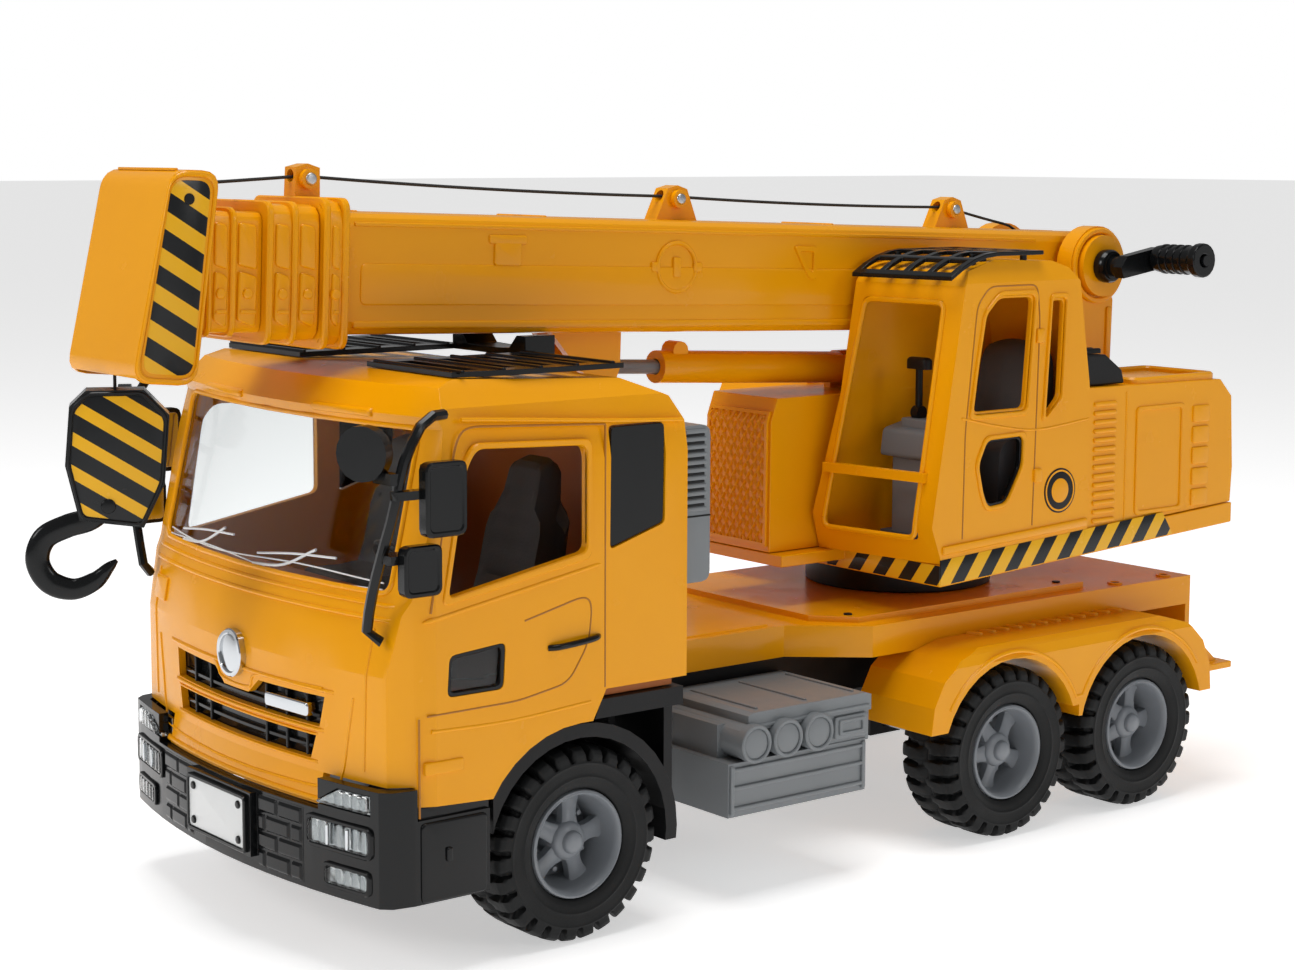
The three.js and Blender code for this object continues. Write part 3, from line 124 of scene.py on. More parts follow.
def mouldedFinish(name, look):
    # moulded plastic: two shades mixed by slow noise, roughness spread by a finer noise, and a grain in the
    # bump
    material = bpy.data.materials.new(name)
    material.use_nodes = True
    tree = material.node_tree
    shader = tree.nodes["Principled BSDF"]
    place = tree.nodes.new("ShaderNodeTexCoord")
    cloudy = tree.nodes.new("ShaderNodeTexNoise")  # slow drift of shade over the moulding
    cloudy.inputs["Scale"].default_value = 14.0
    cloudy.inputs["Detail"].default_value = 4.0
    drift = tree.nodes.new("ShaderNodeMix")
    drift.data_type = "RGBA"
    drift.inputs["A"].default_value = (*look["base"], 1)
    drift.inputs["B"].default_value = (*look["shade"], 1)
    tree.links.new(place.outputs["Object"], cloudy.inputs["Vector"])
    tree.links.new(cloudy.outputs["Fac"], drift.inputs["Factor"])
    tree.links.new(drift.outputs["Result"], shader.inputs["Base Color"])
    fine = tree.nodes.new("ShaderNodeTexNoise")  # grain of the tool surface
    fine.inputs["Scale"].default_value = look["grain"]
    fine.inputs["Detail"].default_value = 3.0
    handled = tree.nodes.new("ShaderNodeTexNoise")  # patches dulled by handling
    handled.inputs["Scale"].default_value = 55.0
    handled.inputs["Detail"].default_value = 6.0
    spread = tree.nodes.new("ShaderNodeMapRange")
    spread.inputs["From Min"].default_value = 0.3
    spread.inputs["From Max"].default_value = 0.7
    spread.inputs["To Min"].default_value = look["rough"][0]
    spread.inputs["To Max"].default_value = look["rough"][1]
    lift = tree.nodes.new("ShaderNodeBump")
    lift.inputs["Strength"].default_value = look["bump"]
    lift.inputs["Distance"].default_value = 0.0004
    tree.links.new(place.outputs["Object"], fine.inputs["Vector"])
    tree.links.new(place.outputs["Object"], handled.inputs["Vector"])
    tree.links.new(handled.outputs["Fac"], spread.inputs["Value"])
    tree.links.new(spread.outputs["Result"], shader.inputs["Roughness"])
    tree.links.new(fine.outputs["Fac"], lift.inputs["Height"])
    tree.links.new(lift.outputs["Normal"], shader.inputs["Normal"])
    shader.inputs["Metallic"].default_value = look.get("metal", 0.0)
    shader.inputs["Coat Weight"].default_value = look.get("coat", 0.0)
    shader.inputs["Coat Roughness"].default_value = 0.08
    shader.inputs["Specular IOR Level"].default_value = look.get("gleam", 0.42)
    return material


paint = {name: mouldedFinish(name, look) for name, look in finishes.items()}
slotOf = {name: look["slot"] for name, look in finishes.items()}


def stripedFinish(name, along, across, pitch, share, offset, light, dark):
    # stripes: dark where the place measured along the stripe's normal, divided by the pitch, has a fraction
    # under the share
    material = mouldedFinish(name, finishes["cabYellow"])
    tree = material.node_tree
    shader = tree.nodes["Principled BSDF"]
    place = next(n for n in tree.nodes if n.type == "TEX_COORD")
    measure = tree.nodes.new("ShaderNodeVectorMath")
    measure.operation = "DOT_PRODUCT"
    measure.inputs[1].default_value = [1000.0 / pitch * part for part in (across[0], along, across[1])]
    shifted = tree.nodes.new("ShaderNodeMath")
    shifted.inputs[1].default_value = offset + 40.0
    fraction = tree.nodes.new("ShaderNodeMath")
    fraction.operation = "FRACT"
    choose = tree.nodes.new("ShaderNodeMath")
    choose.operation = "LESS_THAN"
    choose.inputs[1].default_value = share
    printed = tree.nodes.new("ShaderNodeMix")
    printed.data_type = "RGBA"
    printed.inputs["A"].default_value = (*light, 1)
    printed.inputs["B"].default_value = (*dark, 1)
    tree.links.new(place.outputs["Object"], measure.inputs[0])
    tree.links.new(measure.outputs["Value"], shifted.inputs[0])
    tree.links.new(shifted.outputs[0], fraction.inputs[0])
    tree.links.new(fraction.outputs[0], choose.inputs[0])
    tree.links.new(choose.outputs[0], printed.inputs["Factor"])
    tree.links.new(printed.outputs["Result"], shader.inputs["Base Color"])
    slotOf[name] = "yellow"
    return material


def clearFinish(name, tint, rough, ribs=0.0):
    # see-through plastic: roughness between half and one and a half times its value, ripples or ribs in the
    # bump
    material = bpy.data.materials.new(name)
    material.use_nodes = True
    tree = material.node_tree
    shader = tree.nodes["Principled BSDF"]
    shader.inputs["Base Color"].default_value = (*tint, 1)
    shader.inputs["Transmission Weight"].default_value = 1.0
    shader.inputs["IOR"].default_value = 1.3
    place = tree.nodes.new("ShaderNodeTexCoord")
    smear = tree.nodes.new("ShaderNodeTexNoise")
    smear.inputs["Scale"].default_value = 38.0
    spread = tree.nodes.new("ShaderNodeMapRange")
    spread.inputs["To Min"].default_value = rough * 0.5
    spread.inputs["To Max"].default_value = rough * 1.5
    tree.links.new(place.outputs["Object"], smear.inputs["Vector"])
    tree.links.new(smear.outputs["Fac"], spread.inputs["Value"])
    tree.links.new(spread.outputs["Result"], shader.inputs["Roughness"])
    wave = tree.nodes.new("ShaderNodeTexWave")  # moulded ribs of a lens, or the faint ripple of a pane
    wave.inputs["Scale"].default_value = 75.0 if ribs else 6.0
    lift = tree.nodes.new("ShaderNodeBump")
    lift.inputs["Strength"].default_value = ribs or 0.02
    lift.inputs["Distance"].default_value = 0.0006
    tree.links.new(place.outputs["Object"], wave.inputs["Vector"])
    tree.links.new(wave.outputs["Fac"], lift.inputs["Height"])
    tree.links.new(lift.outputs["Normal"], shader.inputs["Normal"])
    slotOf[name] = "clear"
    return material


paint["screenClear"] = clearFinish("screenClear", (0.93, 0.96, 0.96), 0.03)
paint["lampClear"] = clearFinish("lampClear", (0.95, 0.97, 0.97), 0.05, 0.35)
printBlack = (0.010, 0.011, 0.012)
printYellow = (0.80, 0.42, 0.012)
paint["headStripes"] = stripedFinish("headStripes", 0.53, (0.0, 0.848), 11.6, 0.52, 0.35, printYellow,
    printBlack)
paint["hazardStripes"] = stripedFinish("hazardStripes", 0.80, (0.80, -0.60), 12.2, 0.5, 0.0, printYellow,
    printBlack)
paint["blockStripes"] = stripedFinish("blockStripes", 0.476, (0.232, 0.848), 10.0, 0.58, 0.35, printYellow,
    printBlack)
print("finishes mixed:", len(paint))

# shapes: each gives points (mm on the drawing) and faces


def loft(rings):
    # one ring of points after another, joined by quads, with an n-sided face at each end
    rings = np.asarray(rings, float)
    count, size = rings.shape[:2]
    index = np.arange(count * size).reshape(count, size)
    ahead = np.roll(index, -1, 1)
    quads = np.stack([index[:-1], ahead[:-1], ahead[1:], index[1:]], -1)
    faces = quads.reshape(-1, 4).tolist() + [index[0, ::-1].tolist(), index[-1].tolist()]
    return rings.reshape(-1, 3), faces


def wrapped(grid):
    # a grid closed both ways, as round a tyre
    rows, columns = grid.shape[:2]
    index = np.arange(rows * columns).reshape(rows, columns)
    over = np.roll(index, -1, 0)
    quads = np.stack([index, np.roll(index, -1, 1), np.roll(over, -1, 1), over], -1)
    return grid.reshape(-1, 3), quads.reshape(-1, 4).tolist()


def panel(front, back):
    # two facing grids of points joined round their edge
    rows, columns = front.shape[:2]
    index = np.arange(rows * columns).reshape(rows, columns)
    other = index + rows * columns
    def quadsOf(g):
        return np.stack([g[:-1, :-1], g[:-1, 1:], g[1:, 1:], g[1:, :-1]], -1).reshape(-1, 4)
    edge = np.concatenate([index[0, :-1], index[:-1, -1], index[-1, :0:-1], index[:0:-1, 0]])
    ahead = np.roll(edge, -1)
    rim = np.stack([edge, ahead, ahead + rows * columns, edge + rows * columns], -1)
    points = np.concatenate([front.reshape(-1, 3), back.reshape(-1, 3)])
    return points, quadsOf(index).tolist() + quadsOf(other)[:, ::-1].tolist() + rim.tolist()


def together(*parts):
    # the parts' points end to end, each part's corners numbered on from the part before
    points, faces, start = [], [], 0
    for somePoints, someFaces in parts:
        points.append(somePoints)
        corners = np.concatenate(someFaces) + start
        faces += [face.tolist() for face in np.split(corners,
            np.cumsum([len(face) for face in someFaces])[:-1])]
        start += len(somePoints)
    return np.concatenate(points), faces


def mirrored(part):
    # x turned to minus x
    return part[0] * [-1.0, 1.0, 1.0], part[1]


def onSide(part, sign):
    # the part as drawn on the left, or mirrored for the right
    return part if sign > 0 else mirrored(part)


def softCorners(corners, radius, steps=5):
    # each corner becomes a quadratic curve that starts and ends a radius away from it
    corner = np.asarray(corners, float)
    def reach(edge):
        length = np.linalg.norm(edge, axis=1, keepdims=True)
        return edge * np.minimum(radius, 0.46 * length) / length
    start = corner + reach(np.roll(corner, 1, 0) - corner)
    end = corner + reach(np.roll(corner, -1, 0) - corner)
    t = np.linspace(0, 1, steps)[None, :, None]
    return ((1 - t) ** 2 * start[:, None] + 2 * t * (1 - t) * corner[:, None] + t * t * end[:,
        None]).reshape(-1, 2)


def rectangle(a0, b0, a1, b1, radius=1.0):
    # a rectangle between two corners, its corners rounded
    return softCorners([[a0, b0], [a1, b0], [a1, b1], [a0, b1]], radius)


def disc(a, b, radius, sides=36):
    # centre plus the radius times (cosine, sine) of an even turn
    angle = np.linspace(0, 2 * np.pi, sides, endpoint=False)
    return np.stack([a + radius * np.cos(angle), b + radius * np.sin(angle)], -1)


def stood(outline, axis, height):
    # an outline drawn across an axis, set at a height on that axis
    flat = np.asarray(outline, float)
    level = np.full(len(flat), float(height))
    order = {"x": (level, flat[:, 0], flat[:, 1]), "y": (flat[:, 0], level, flat[:, 1]),
        "z": (flat[:, 0], flat[:, 1], level)}
    return np.stack(order[axis], -1)


def pad(outline, axis, base, top, edge=0.5):
    # a raised pad: walls from base to top, its top edge rounded over by drawing the outline in towards its
    # middle
    flat = np.asarray(outline, float)
    middle = (flat.max(0) + flat.min(0)) / 2
    half = np.maximum((flat.max(0) - flat.min(0)) / 2, 0.01)
    edge = min(edge, abs(top - base) * 0.9, half.min() * 0.8)
    turn = np.linspace(0, math.pi / 2, 4)
    sign = 1 if top > base else -1
    rings = [stood(flat, axis, base)]
    for step in turn:
        drawn = middle + (flat - middle) * (half - edge * (1 - math.cos(step))) / half
        rings.append(stood(drawn, axis, top - sign * edge * (1 - math.sin(step))))
    return loft(rings)


def ring(outer, inner, axis, low, high, edge=0.35):
    # a frame between two outlines with the same number of points
    def inward(share):
        return np.asarray(outer, float) * (1 - share) + np.asarray(inner, float) * share
    nudge = edge / max(np.linalg.norm(np.asarray(outer)[0] - np.asarray(inner)[0]), 0.8)
    grid = np.stack([stood(inward(0), axis, low), stood(inward(0), axis, high - np.sign(high - low) * edge),
                     stood(inward(nudge), axis, high), stood(inward(1 - nudge), axis, high),
                     stood(inward(1), axis, high - np.sign(high - low) * edge), stood(inward(1), axis, low)])
    return wrapped(grid)


def tube(path, radius, sides=10, up=(0.0, 0.0, 1.0)):
    # a circle carried along a path, square to it
    path = np.asarray(path, float)
    forward = np.gradient(path, axis=0)
    forward /= np.linalg.norm(forward, axis=1, keepdims=True)
    side = np.cross(forward, np.asarray(up, float))
    side /= np.linalg.norm(side, axis=1, keepdims=True)
    lift = np.cross(side, forward)
    angle = np.linspace(0, 2 * np.pi, sides, endpoint=False)[None, :, None]
    size = np.broadcast_to(np.asarray(radius, float), (len(path),))[:, None, None]
    return loft(path[:, None] + size * (np.cos(angle) * side[:, None] + np.sin(angle) * lift[:, None]))


def smoothPath(corners, steps=40):
    # an even run of points along a Catmull-Rom curve through the corners
    points = np.asarray(corners, float)
    padded = np.concatenate([[2 * points[0] - points[1]], points, [2 * points[-1] - points[-2]]])
    run = np.linspace(0, len(points) - 1 - 1e-9, steps)
    leg = run.astype(int)
    t = (run - leg)[:, None]
    a, b, c, d = padded[leg], padded[leg + 1], padded[leg + 2], padded[leg + 3]
    return 0.5 * (2 * b + (c - a) * t + (2 * a - 5 * b + 4 * c - d) * t ** 2 + (3 * b - a - 3 * c + d) * t ** 3)


def turned(profile, sides, y, z, closed=False, x=0.0, facing=1):
    # a (radius, distance along X) profile turned about the X axis through y, z
    profile = np.asarray(profile, float)
    angle = np.linspace(0, 2 * np.pi, sides, endpoint=False)[None, :]
    radius = profile[:, :1]
    across = np.broadcast_to(x + facing * profile[:, 1:2], (len(profile), sides))
    grid = np.stack([across, y + radius * np.cos(angle), z + radius * np.sin(angle)], -1)
    return wrapped(grid) if closed else loft(grid)


def placed(name, part, finish, body, stands=(), shade=38.0):
    # makes the mesh, merges its doubles, turns its faces outwards and rides it on its body
    mesh = bpy.data.meshes.new(name)
    mesh.from_pydata(toFrame(part[0]).tolist(), [], part[1])
    tidy = bmesh.new()
    tidy.from_mesh(mesh)
    bmesh.ops.remove_doubles(tidy, verts=tidy.verts, dist=2e-6)
    bmesh.ops.recalc_face_normals(tidy, faces=tidy.faces)
    tidy.to_mesh(mesh)
    tidy.free()
    mesh.materials.append(paint[finish])
    mesh.shade_smooth()
    mesh.set_sharp_from_angle(angle=math.radians(shade))
    piece = bpy.data.objects.new(name, mesh)
    bpy.context.scene.collection.objects.link(piece)
    if body:
        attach(piece, body)
    if stands:
        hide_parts(*stands)
    return piece


def softened(node, finish, body, width, segments=2):
    # the node's own shape, with its doubles merged, flat faces joined and sharp edges rounded over
    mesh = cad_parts[node].data.copy()
    mesh.name = node + "_moulding"
    tidy = bmesh.new()
    tidy.from_mesh(mesh)
    bmesh.ops.remove_doubles(tidy, verts=tidy.verts, dist=4e-6)
    bmesh.ops.dissolve_limit(tidy, angle_limit=math.radians(1.2), verts=tidy.verts, edges=tidy.edges)
    tidy.to_mesh(mesh)
    tidy.free()
    if "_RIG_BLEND" in mesh.attributes:
        mesh.attributes.remove(mesh.attributes["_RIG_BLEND"])
    mesh.materials.clear()
    mesh.materials.append(paint[finish])
    mesh.shade_smooth()
    mesh.set_sharp_from_angle(angle=math.radians(28))
    piece = bpy.data.objects.new(node + "_moulding", mesh)
    bpy.context.scene.collection.objects.link(piece)
    if width:
        rounding = piece.modifiers.new("roundedEdges", "BEVEL")
        rounding.width = width / 1000.0
        rounding.segments = segments
        rounding.limit_method = "ANGLE"
        rounding.angle_limit = math.radians(32)
        rounding.use_clamp_overlap = True
        rounding.harden_normals = True
    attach(piece, body)
    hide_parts(node)
    return piece


# camera, light and floor
viewing = {"place": (773.8, -604.0, 284.5), "turn": math.degrees(0.913142), "down": math.degrees(0.11165),
    "roll": math.degrees(0.002552),
           "lens": 67.07, "shiftX": 0.0170, "shiftY": -0.0492}
camera = bpy.data.objects.new("camera", bpy.data.cameras.new("camera"))
bpy.context.scene.collection.objects.link(camera)
camera.matrix_world = (Matrix.Translation(Vector(toFrame([viewing["place"]])[0]))
    @ Matrix.Rotation(math.radians(viewing["turn"]), 4, "Z")
                       @ Matrix.Rotation(math.radians(90 - viewing["down"]), 4,
                           "X") @ Matrix.Rotation(math.radians(viewing["roll"]), 4, "Z"))
camera.data.lens = viewing["lens"]
camera.data.shift_x = viewing["shiftX"]
camera.data.shift_y = viewing["shiftY"]
camera.data.clip_end = 60.0
bpy.context.scene.camera = camera

softLights = {
    "overhead": {"at": (0.0, -0.1, 1.5), "size": 0.8, "power": 13.0},
    "leftSide": {"at": (1.9, 0.6, 0.9), "size": 0.5, "power": 3.6},
    "front": {"at": (-0.2, -1.9, 1.2), "size": 0.7, "power": 11.0},
}
skyStrength = {"onPieces": 0.30, "seen": 1.0}
for name, light in softLights.items():
    lamp = bpy.data.lights.new(name, "AREA")
    lamp.shape = "SQUARE"
    lamp.size = light["size"]
    lamp.energy = light["power"]
    holder = bpy.data.objects.new(name, lamp)
    holder.location = light["at"]
    holder.rotation_euler = (Vector((0, 0, 0.15)) - Vector(light["at"])).to_track_quat("-Z", "Y").to_euler()
    bpy.context.scene.collection.objects.link(holder)
sky = bpy.data.worlds.new("studio")
sky.use_nodes = True
sky.node_tree.nodes["Background"].inputs["Color"].default_value = (1, 1, 1, 1)
skyTree = sky.node_tree
skyTree.nodes["Background"].inputs["Strength"].default_value = skyStrength["onPieces"]
paper = skyTree.nodes.new("ShaderNodeBackground")  # the plain white paper behind
paper.inputs["Color"].default_value = (1, 1, 1, 1)
paper.inputs["Strength"].default_value = skyStrength["seen"]
sight = skyTree.nodes.new("ShaderNodeLightPath")
either = skyTree.nodes.new("ShaderNodeMixShader")
skyTree.links.new(sight.outputs["Is Camera Ray"], either.inputs["Fac"])
skyTree.links.new(skyTree.nodes["Background"].outputs[0], either.inputs[1])
skyTree.links.new(paper.outputs[0], either.inputs[2])
skyTree.links.new(either.outputs[0], skyTree.nodes["World Output"].inputs["Surface"])
bpy.context.scene.world = sky
bpy.context.scene.view_settings.view_transform = "Standard"

floorMesh = bpy.data.meshes.new("floor")
floorMesh.from_pydata([(-20, -20, 0), (20, -20, 0), (20, 20, 0), (-20, 20, 0)], [], [(0, 1, 2, 3)])
floor = bpy.data.objects.new("floor", floorMesh)
floor.location.z = cadBox[0].z - 0.0002
floorPaint = bpy.data.materials.new("paleFloor")
floorPaint.use_nodes = True
paleLook = {"Base Color": (0.92, 0.92, 0.92, 1), "Roughness": 0.7, "Emission Color": (1, 1, 1, 1),
    "Emission Strength": 0.50}
for socket, value in paleLook.items():
    floorPaint.node_tree.nodes["Principled BSDF"].inputs[socket].default_value = value
floorMesh.materials.append(floorPaint)
bpy.context.scene.collection.objects.link(floor)
print("camera, lights and floor set")

# wheels
wheel = {"lugs": 27, "notch": 3.4, "notchShare": 0.36, "centre": 80.0, "axleZ": 36.0, "archRadius": 43.2,
         "spokes": 5, "nutCircle": 11.6}
wheelPlaces = {"front": -99.3, "middle": 123.2, "rear": 204.8}


def tyreGrid(sign, y):
    # cross section round the tyre from the inner bead over the tread to the outer bead and back inside
    sectionR = [20.2, 22.2, 24.4, 25.0, 25.8, 29.4, 30.0, 30.6, 33.0, 34.6, 35.7, 36.0, 36.0, 36.0, 35.7, 34.6,
        33.0, 30.6, 30.0, 29.4, 25.8, 25.0, 24.4, 22.2, 20.2, 19.6]
    sectionX = [-12.6, -14.0, -14.6, -15.0, -14.7, -14.8, -15.0, -14.7, -14.4, -13.6, -11.6, -8.5, 0.0, 8.5,
        11.6, 13.6, 14.4, 14.7, 15.0, 14.8, 14.7, 15.0, 14.6, 14.0, 12.6, 0.0]
    fine = np.linspace(0, len(sectionR) - 1, 92)
    r = np.interp(fine, np.arange(len(sectionR)), sectionR)[None, :]
    x = np.interp(fine, np.arange(len(sectionR)), sectionX)[None, :]
    angle = np.linspace(0, 2 * np.pi, wheel["lugs"] * 12, endpoint=False)[:, None]
    phase = (angle / (2 * np.pi) * wheel["lugs"] + np.where(x > 0, 0.0, 0.5) + 0.018 * np.abs(x)) % 1.0
    inNotch = np.clip((wheel["notchShare"] / 2 - np.abs(phase - 0.5)) / 0.06, 0, 1)
    onShoulder = np.clip((np.abs(x) - 3.6) / 1.2, 0, 1) * np.clip((r - 30.9) / 1.2, 0, 1)
    zigzag = np.clip((1.6 - np.abs(x - 1.4 * np.sin(angle * wheel["lugs"]))) / 0.7, 0, 1) * (r > 33)
    depth = wheel["notch"] * inNotch * onShoulder
    r = r - np.maximum(depth, 1.6 * zigzag)
    x = x - np.sign(x) * 0.9 * inNotch * onShoulder * np.clip((35.5 - r) / 4, 0, 1)
    return wrapped(np.stack([sign * (wheel["centre"] + x) + 0 * angle, y + r * np.cos(angle),
        wheel["axleZ"] + r * np.sin(angle)], -1))


def spoke(angle, sign, y):
    # a spoke that widens towards the rim, crowned across and dished in from hub to rim
    run = np.linspace(0, 1, 9)
    reachR = 5.5 + run * 11.8
    width = 2.7 + 1.2 * (2 * run - 1) ** 2 + 0.9 * run
    face = 7.6 - 3.4 * np.sin(run * math.pi / 2) + 0.6 * run
    shape = np.array([[-1, -0.9], [-1, 0.55], [-0.72, 0.92], [0, 1.0], [0.72, 0.92], [1, 0.55], [1, -0.9]])
    across = shape[None, :, 0] * width[:, None]
    depth = np.where(shape[None, :, 1] > 0, face[:, None] - (1 - shape[None, :, 1]) * 2.2, face[:, None] - 4.5)
    radial = np.broadcast_to(reachR[:, None], across.shape)
    a = math.cos(angle)
    b = math.sin(angle)
    return loft(np.stack([sign * (wheel["centre"] + depth), y + radial * a - across * b,
        wheel["axleZ"] + radial * b + across * a], -1))


for end, axleY in wheelPlaces.items():
    for side, sign in (("left", 1), ("right", -1)):
        placed(f"{end}_tyre_{side}_tread", tyreGrid(sign, axleY), "tyreRubber", f"{end}_wheels",
            (f"{end}_tyre_{side}",), shade=50)
        rimEdge = turned([[20.1, -9], [20.1, 11.6], [19.7, 13.2], [18.9, 13.6], [18.2, 13.0], [17.6, 10.5],
            [16.9, 6.0], [16.2, 3.0],
                          [15.6, 0.5], [15.3, -4.0], [6.5, -4.6], [6.5, -9.0], [12.0, -9.6]], 60, axleY,
                              wheel["axleZ"], True, sign * wheel["centre"], sign)
        hub = turned([[0.3, -4.0], [7.2, -4.0], [7.2, 6.8], [6.7, 8.0], [5.6, 8.8], [4.3, 9.2], [4.1, 10.6],
            [3.4, 11.4], [1.8, 11.9], [0.3, 12.0]],
                     40, axleY, wheel["axleZ"], False, sign * wheel["centre"], sign)
        turn = 0.35 + 0.5 * sign + axleY * 0.02
        spokes = [spoke(turn + k * 2 * math.pi / wheel["spokes"], sign, axleY) for k in range(wheel["spokes"])]
        nuts = [turned([[0.2, 1.0], [1.25, 1.0], [1.25, 6.6], [0.9, 7.2], [0.2, 7.3]], 8,
            axleY + wheel["nutCircle"] * math.cos(turn + (k + 0.5) * 2 * math.pi / wheel["spokes"]),
                       wheel["axleZ"] + wheel["nutCircle"]
                           * math.sin(turn + (k + 0.5) * 2 * math.pi / wheel["spokes"]), False,
                           sign * (wheel["centre"] - 5.2), sign) for k in range(wheel["spokes"])]
        placed(f"{end}_rim_{side}_casting", together(rimEdge, hub, *spokes, *nuts), "rimSilver",
            f"{end}_wheels", (f"{end}_rim_{side}",), shade=45)
    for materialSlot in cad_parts[f"{end}_axle"].material_slots:
        materialSlot.material = paint["pinSteel"]
print("wheels fitted")

# mouldings that keep the frame's own shape
mouldings = {
    "truck": {
        "cab_shell": ("cabYellow", 0.9, 3), "chassis_deck": ("cabYellow", 0.7, 2),
            "rear_wing_left": ("cabYellow", 1.1, 3), "rear_wing_right": ("cabYellow", 1.1, 3),
        "tail_bar": ("cabYellow", 0.5, 2), "bumper": ("glossBlack", 0.8, 2),
            "chassis_frame": ("satinBlack", 0.7, 2), "grille": ("glossBlack", 0.3, 1),
        "mirror_arm_left": ("glossBlack", 0.5, 2), "mirror_arm_right": ("glossBlack", 0.5, 2),
            "roof_rack": ("glossBlack", 0.35, 2),
        "tool_locker_left": ("tankSilver", 0.6, 2), "tool_locker_right": ("tankSilver", 0.6, 2),
            "air_intake": ("tankSilver", 0.8, 2),
        "quarter_window_left": ("glossBlack", 0.3, 1), "quarter_window_right": ("glossBlack", 0.3, 1),
            "slewing_ring": ("satinBlack", 0.6, 2),
        "windscreen": ("screenClear", 0.0, 1), "lamp_insert_left": ("lampDish", 0.3, 1),
            "lamp_insert_right": ("lampDish", 0.3, 1)},
    "turret": {
        "turret_floor": ("cabYellow", 0.8, 2), "turret_shell": ("cabYellow", 1.1, 3),
            "operator_cab": ("cabYellow", 0.9, 3), "engine_cover": ("satinBlack", 0.9, 2),
        "roof_guard": ("glossBlack", 0.35, 2), "winch_tower": ("cabYellow", 0.9, 3),
            "slew_washer": ("satinBlack", 0.4, 1)},
    "winch": {"winch_drum": ("satinBlack", 0.4, 2), "winch_crank": ("glossBlack", 0.9, 3)},
    "grip": {"crank_grip": ("glossBlack", 0.8, 3)},
    "ram_barrel": {"cylinder_barrel": ("cabYellow", 0.6, 2)},
    "ram_rod": {"cylinder_rod": ("tankSilver", 0.3, 1)},
    "boom": {"boom_main_section": ("cabYellow", 0.7, 2)},
    "boom_middle": {"boom_middle_section": ("cabYellow", 0.7, 2)},
    "boom_tip": {"boom_tip_section": ("cabYellow", 0.7, 2), "boom_head": ("cabYellow", 1.4, 3),
        "head_guide": ("satinBlack", 0.4, 2)},
    "block": {"hook_block": ("glossBlack", 0.9, 2)},
}
for body, nodes in mouldings.items():
    for node, (finish, width, segments) in nodes.items():
        softened(node, finish, body, width, segments)
print("mouldings rounded")


# cab
bow = {"depth": 9.0, "halfWidth": 82.0}
bumperY = -192.5  # bumper face at the truck's middle


def bowAt(x):
    # the bow's depth times (x over the half width) squared
    return bow["depth"] * (np.asarray(x) / bow["halfWidth"]) ** 2


def cabFrontAt(x, z):
    # the cab's front line by height, plus its bow
    return np.interp(z, [57, 68, 106, 127.5, 132.5, 190, 194, 203.5],
        [-189, -187, -187, -183, -180.5, -167.5, -169, -162]) + bowAt(x)


def onFront(part):
    # moves a part drawn flat on to the cab's front
    points = part[0].copy()
    points[:, 1] += cabFrontAt(points[:, 0], points[:, 2])
    return points, part[1]


def onFrontLine(points, proud=-0.1):
    # lays a line on the bowed front
    points = np.asarray(points, float).copy()
    points[:, 1] = cabFrontAt(points[:, 0], points[:, 2]) - proud
    return points


def frontStrip(x0, x1, z0, z1, lift, rise=0.8, across=60, up=10):
    # a strip that hugs the bowed front, its height falling off in a quarter circle near its edges
    u = np.linspace(x0, x1, across)[None, :]
    v = np.linspace(0, 1, up)[:, None]
    x = u + 0 * v
    z = z0 + (z1 - z0) * v + 0 * u
    near = np.minimum(np.minimum(x - x0, x1 - x), np.minimum(v, 1 - v) * (z1 - z0))
    height = lift * np.sqrt(np.clip(1 - (1 - np.clip(near / rise, 0, 1)) ** 2, 0, 1))
    surface = cabFrontAt(x, z)
    return panel(np.stack([x, surface - height, z], -1), np.stack([x, surface + 1.2, z], -1))


browLift = 1.3  # ridges over the screen, mm proud
brows = [onFront(pad(rectangle(x - 17, 192.2, x + 17, 195.4, 1.4), "y", 1.0, -browLift, 0.9))
    for x in (-43, 43)]
band = together(frontStrip(-86, 86, 124.6, 126.2, 0.8), frontStrip(-86, 86, 129.4, 130.8, 0.7))
smallPads = [onFront(pad(rectangle(x - 7, 110, x + 7, 119, 1), "y", 1.0, -0.8, 0.5)) for x in (-74,)]
lipRidge = together(frontStrip(-60, 60, 57.6, 59.6, 0.9), frontStrip(-58, 62, 96.6, 98.0, 0.9))
lowerPanel = [tube(onFrontLine(smoothPath([[sx * 72, 0, 97], [sx * 69, 0, 82], [sx * 66, 0, 69],
    [sx * 60, 0, 63.5], [sx * 20, 0, 62.0], [0, 0, 61.8]], 50)), 0.55, 8, (0, 1, 0)) for sx in (-1, 1)]
cornerLine = [tube(onFrontLine(smoothPath([[sx * 79, 0, 122], [sx * 78, 0, 100], [sx * 77, 0, 72]], 30)), 0.5,
    8, (0, 1, 0)) for sx in (-1, 1)]
badgeNotch = tube(onFrontLine(smoothPath([[-50, 0, 97.6], [-17, 0, 97], [-9.5, 0, 91.5], [10, 0, 91.0],
    [17, 0, 96.5], [56, 0, 98]], 60)), 0.6, 8, (0, 1, 0))
placed("cab_front_panel_lines", together(*lowerPanel, *cornerLine, badgeNotch), "cabYellow", "truck")
placed("cab_front_ridges", together(*brows, band, *smallPads, lipRidge), "cabYellow", "truck")

def sideTube(corners, radius=0.42, x=94.82):
    # a thin tube along a (y, z) line at one x
    flat = np.asarray(corners, float)
    return tube(np.stack([np.full(len(flat), x), flat[:, 0], flat[:, 1]], -1), radius, 8, (1.0, 0.0, 0.0))


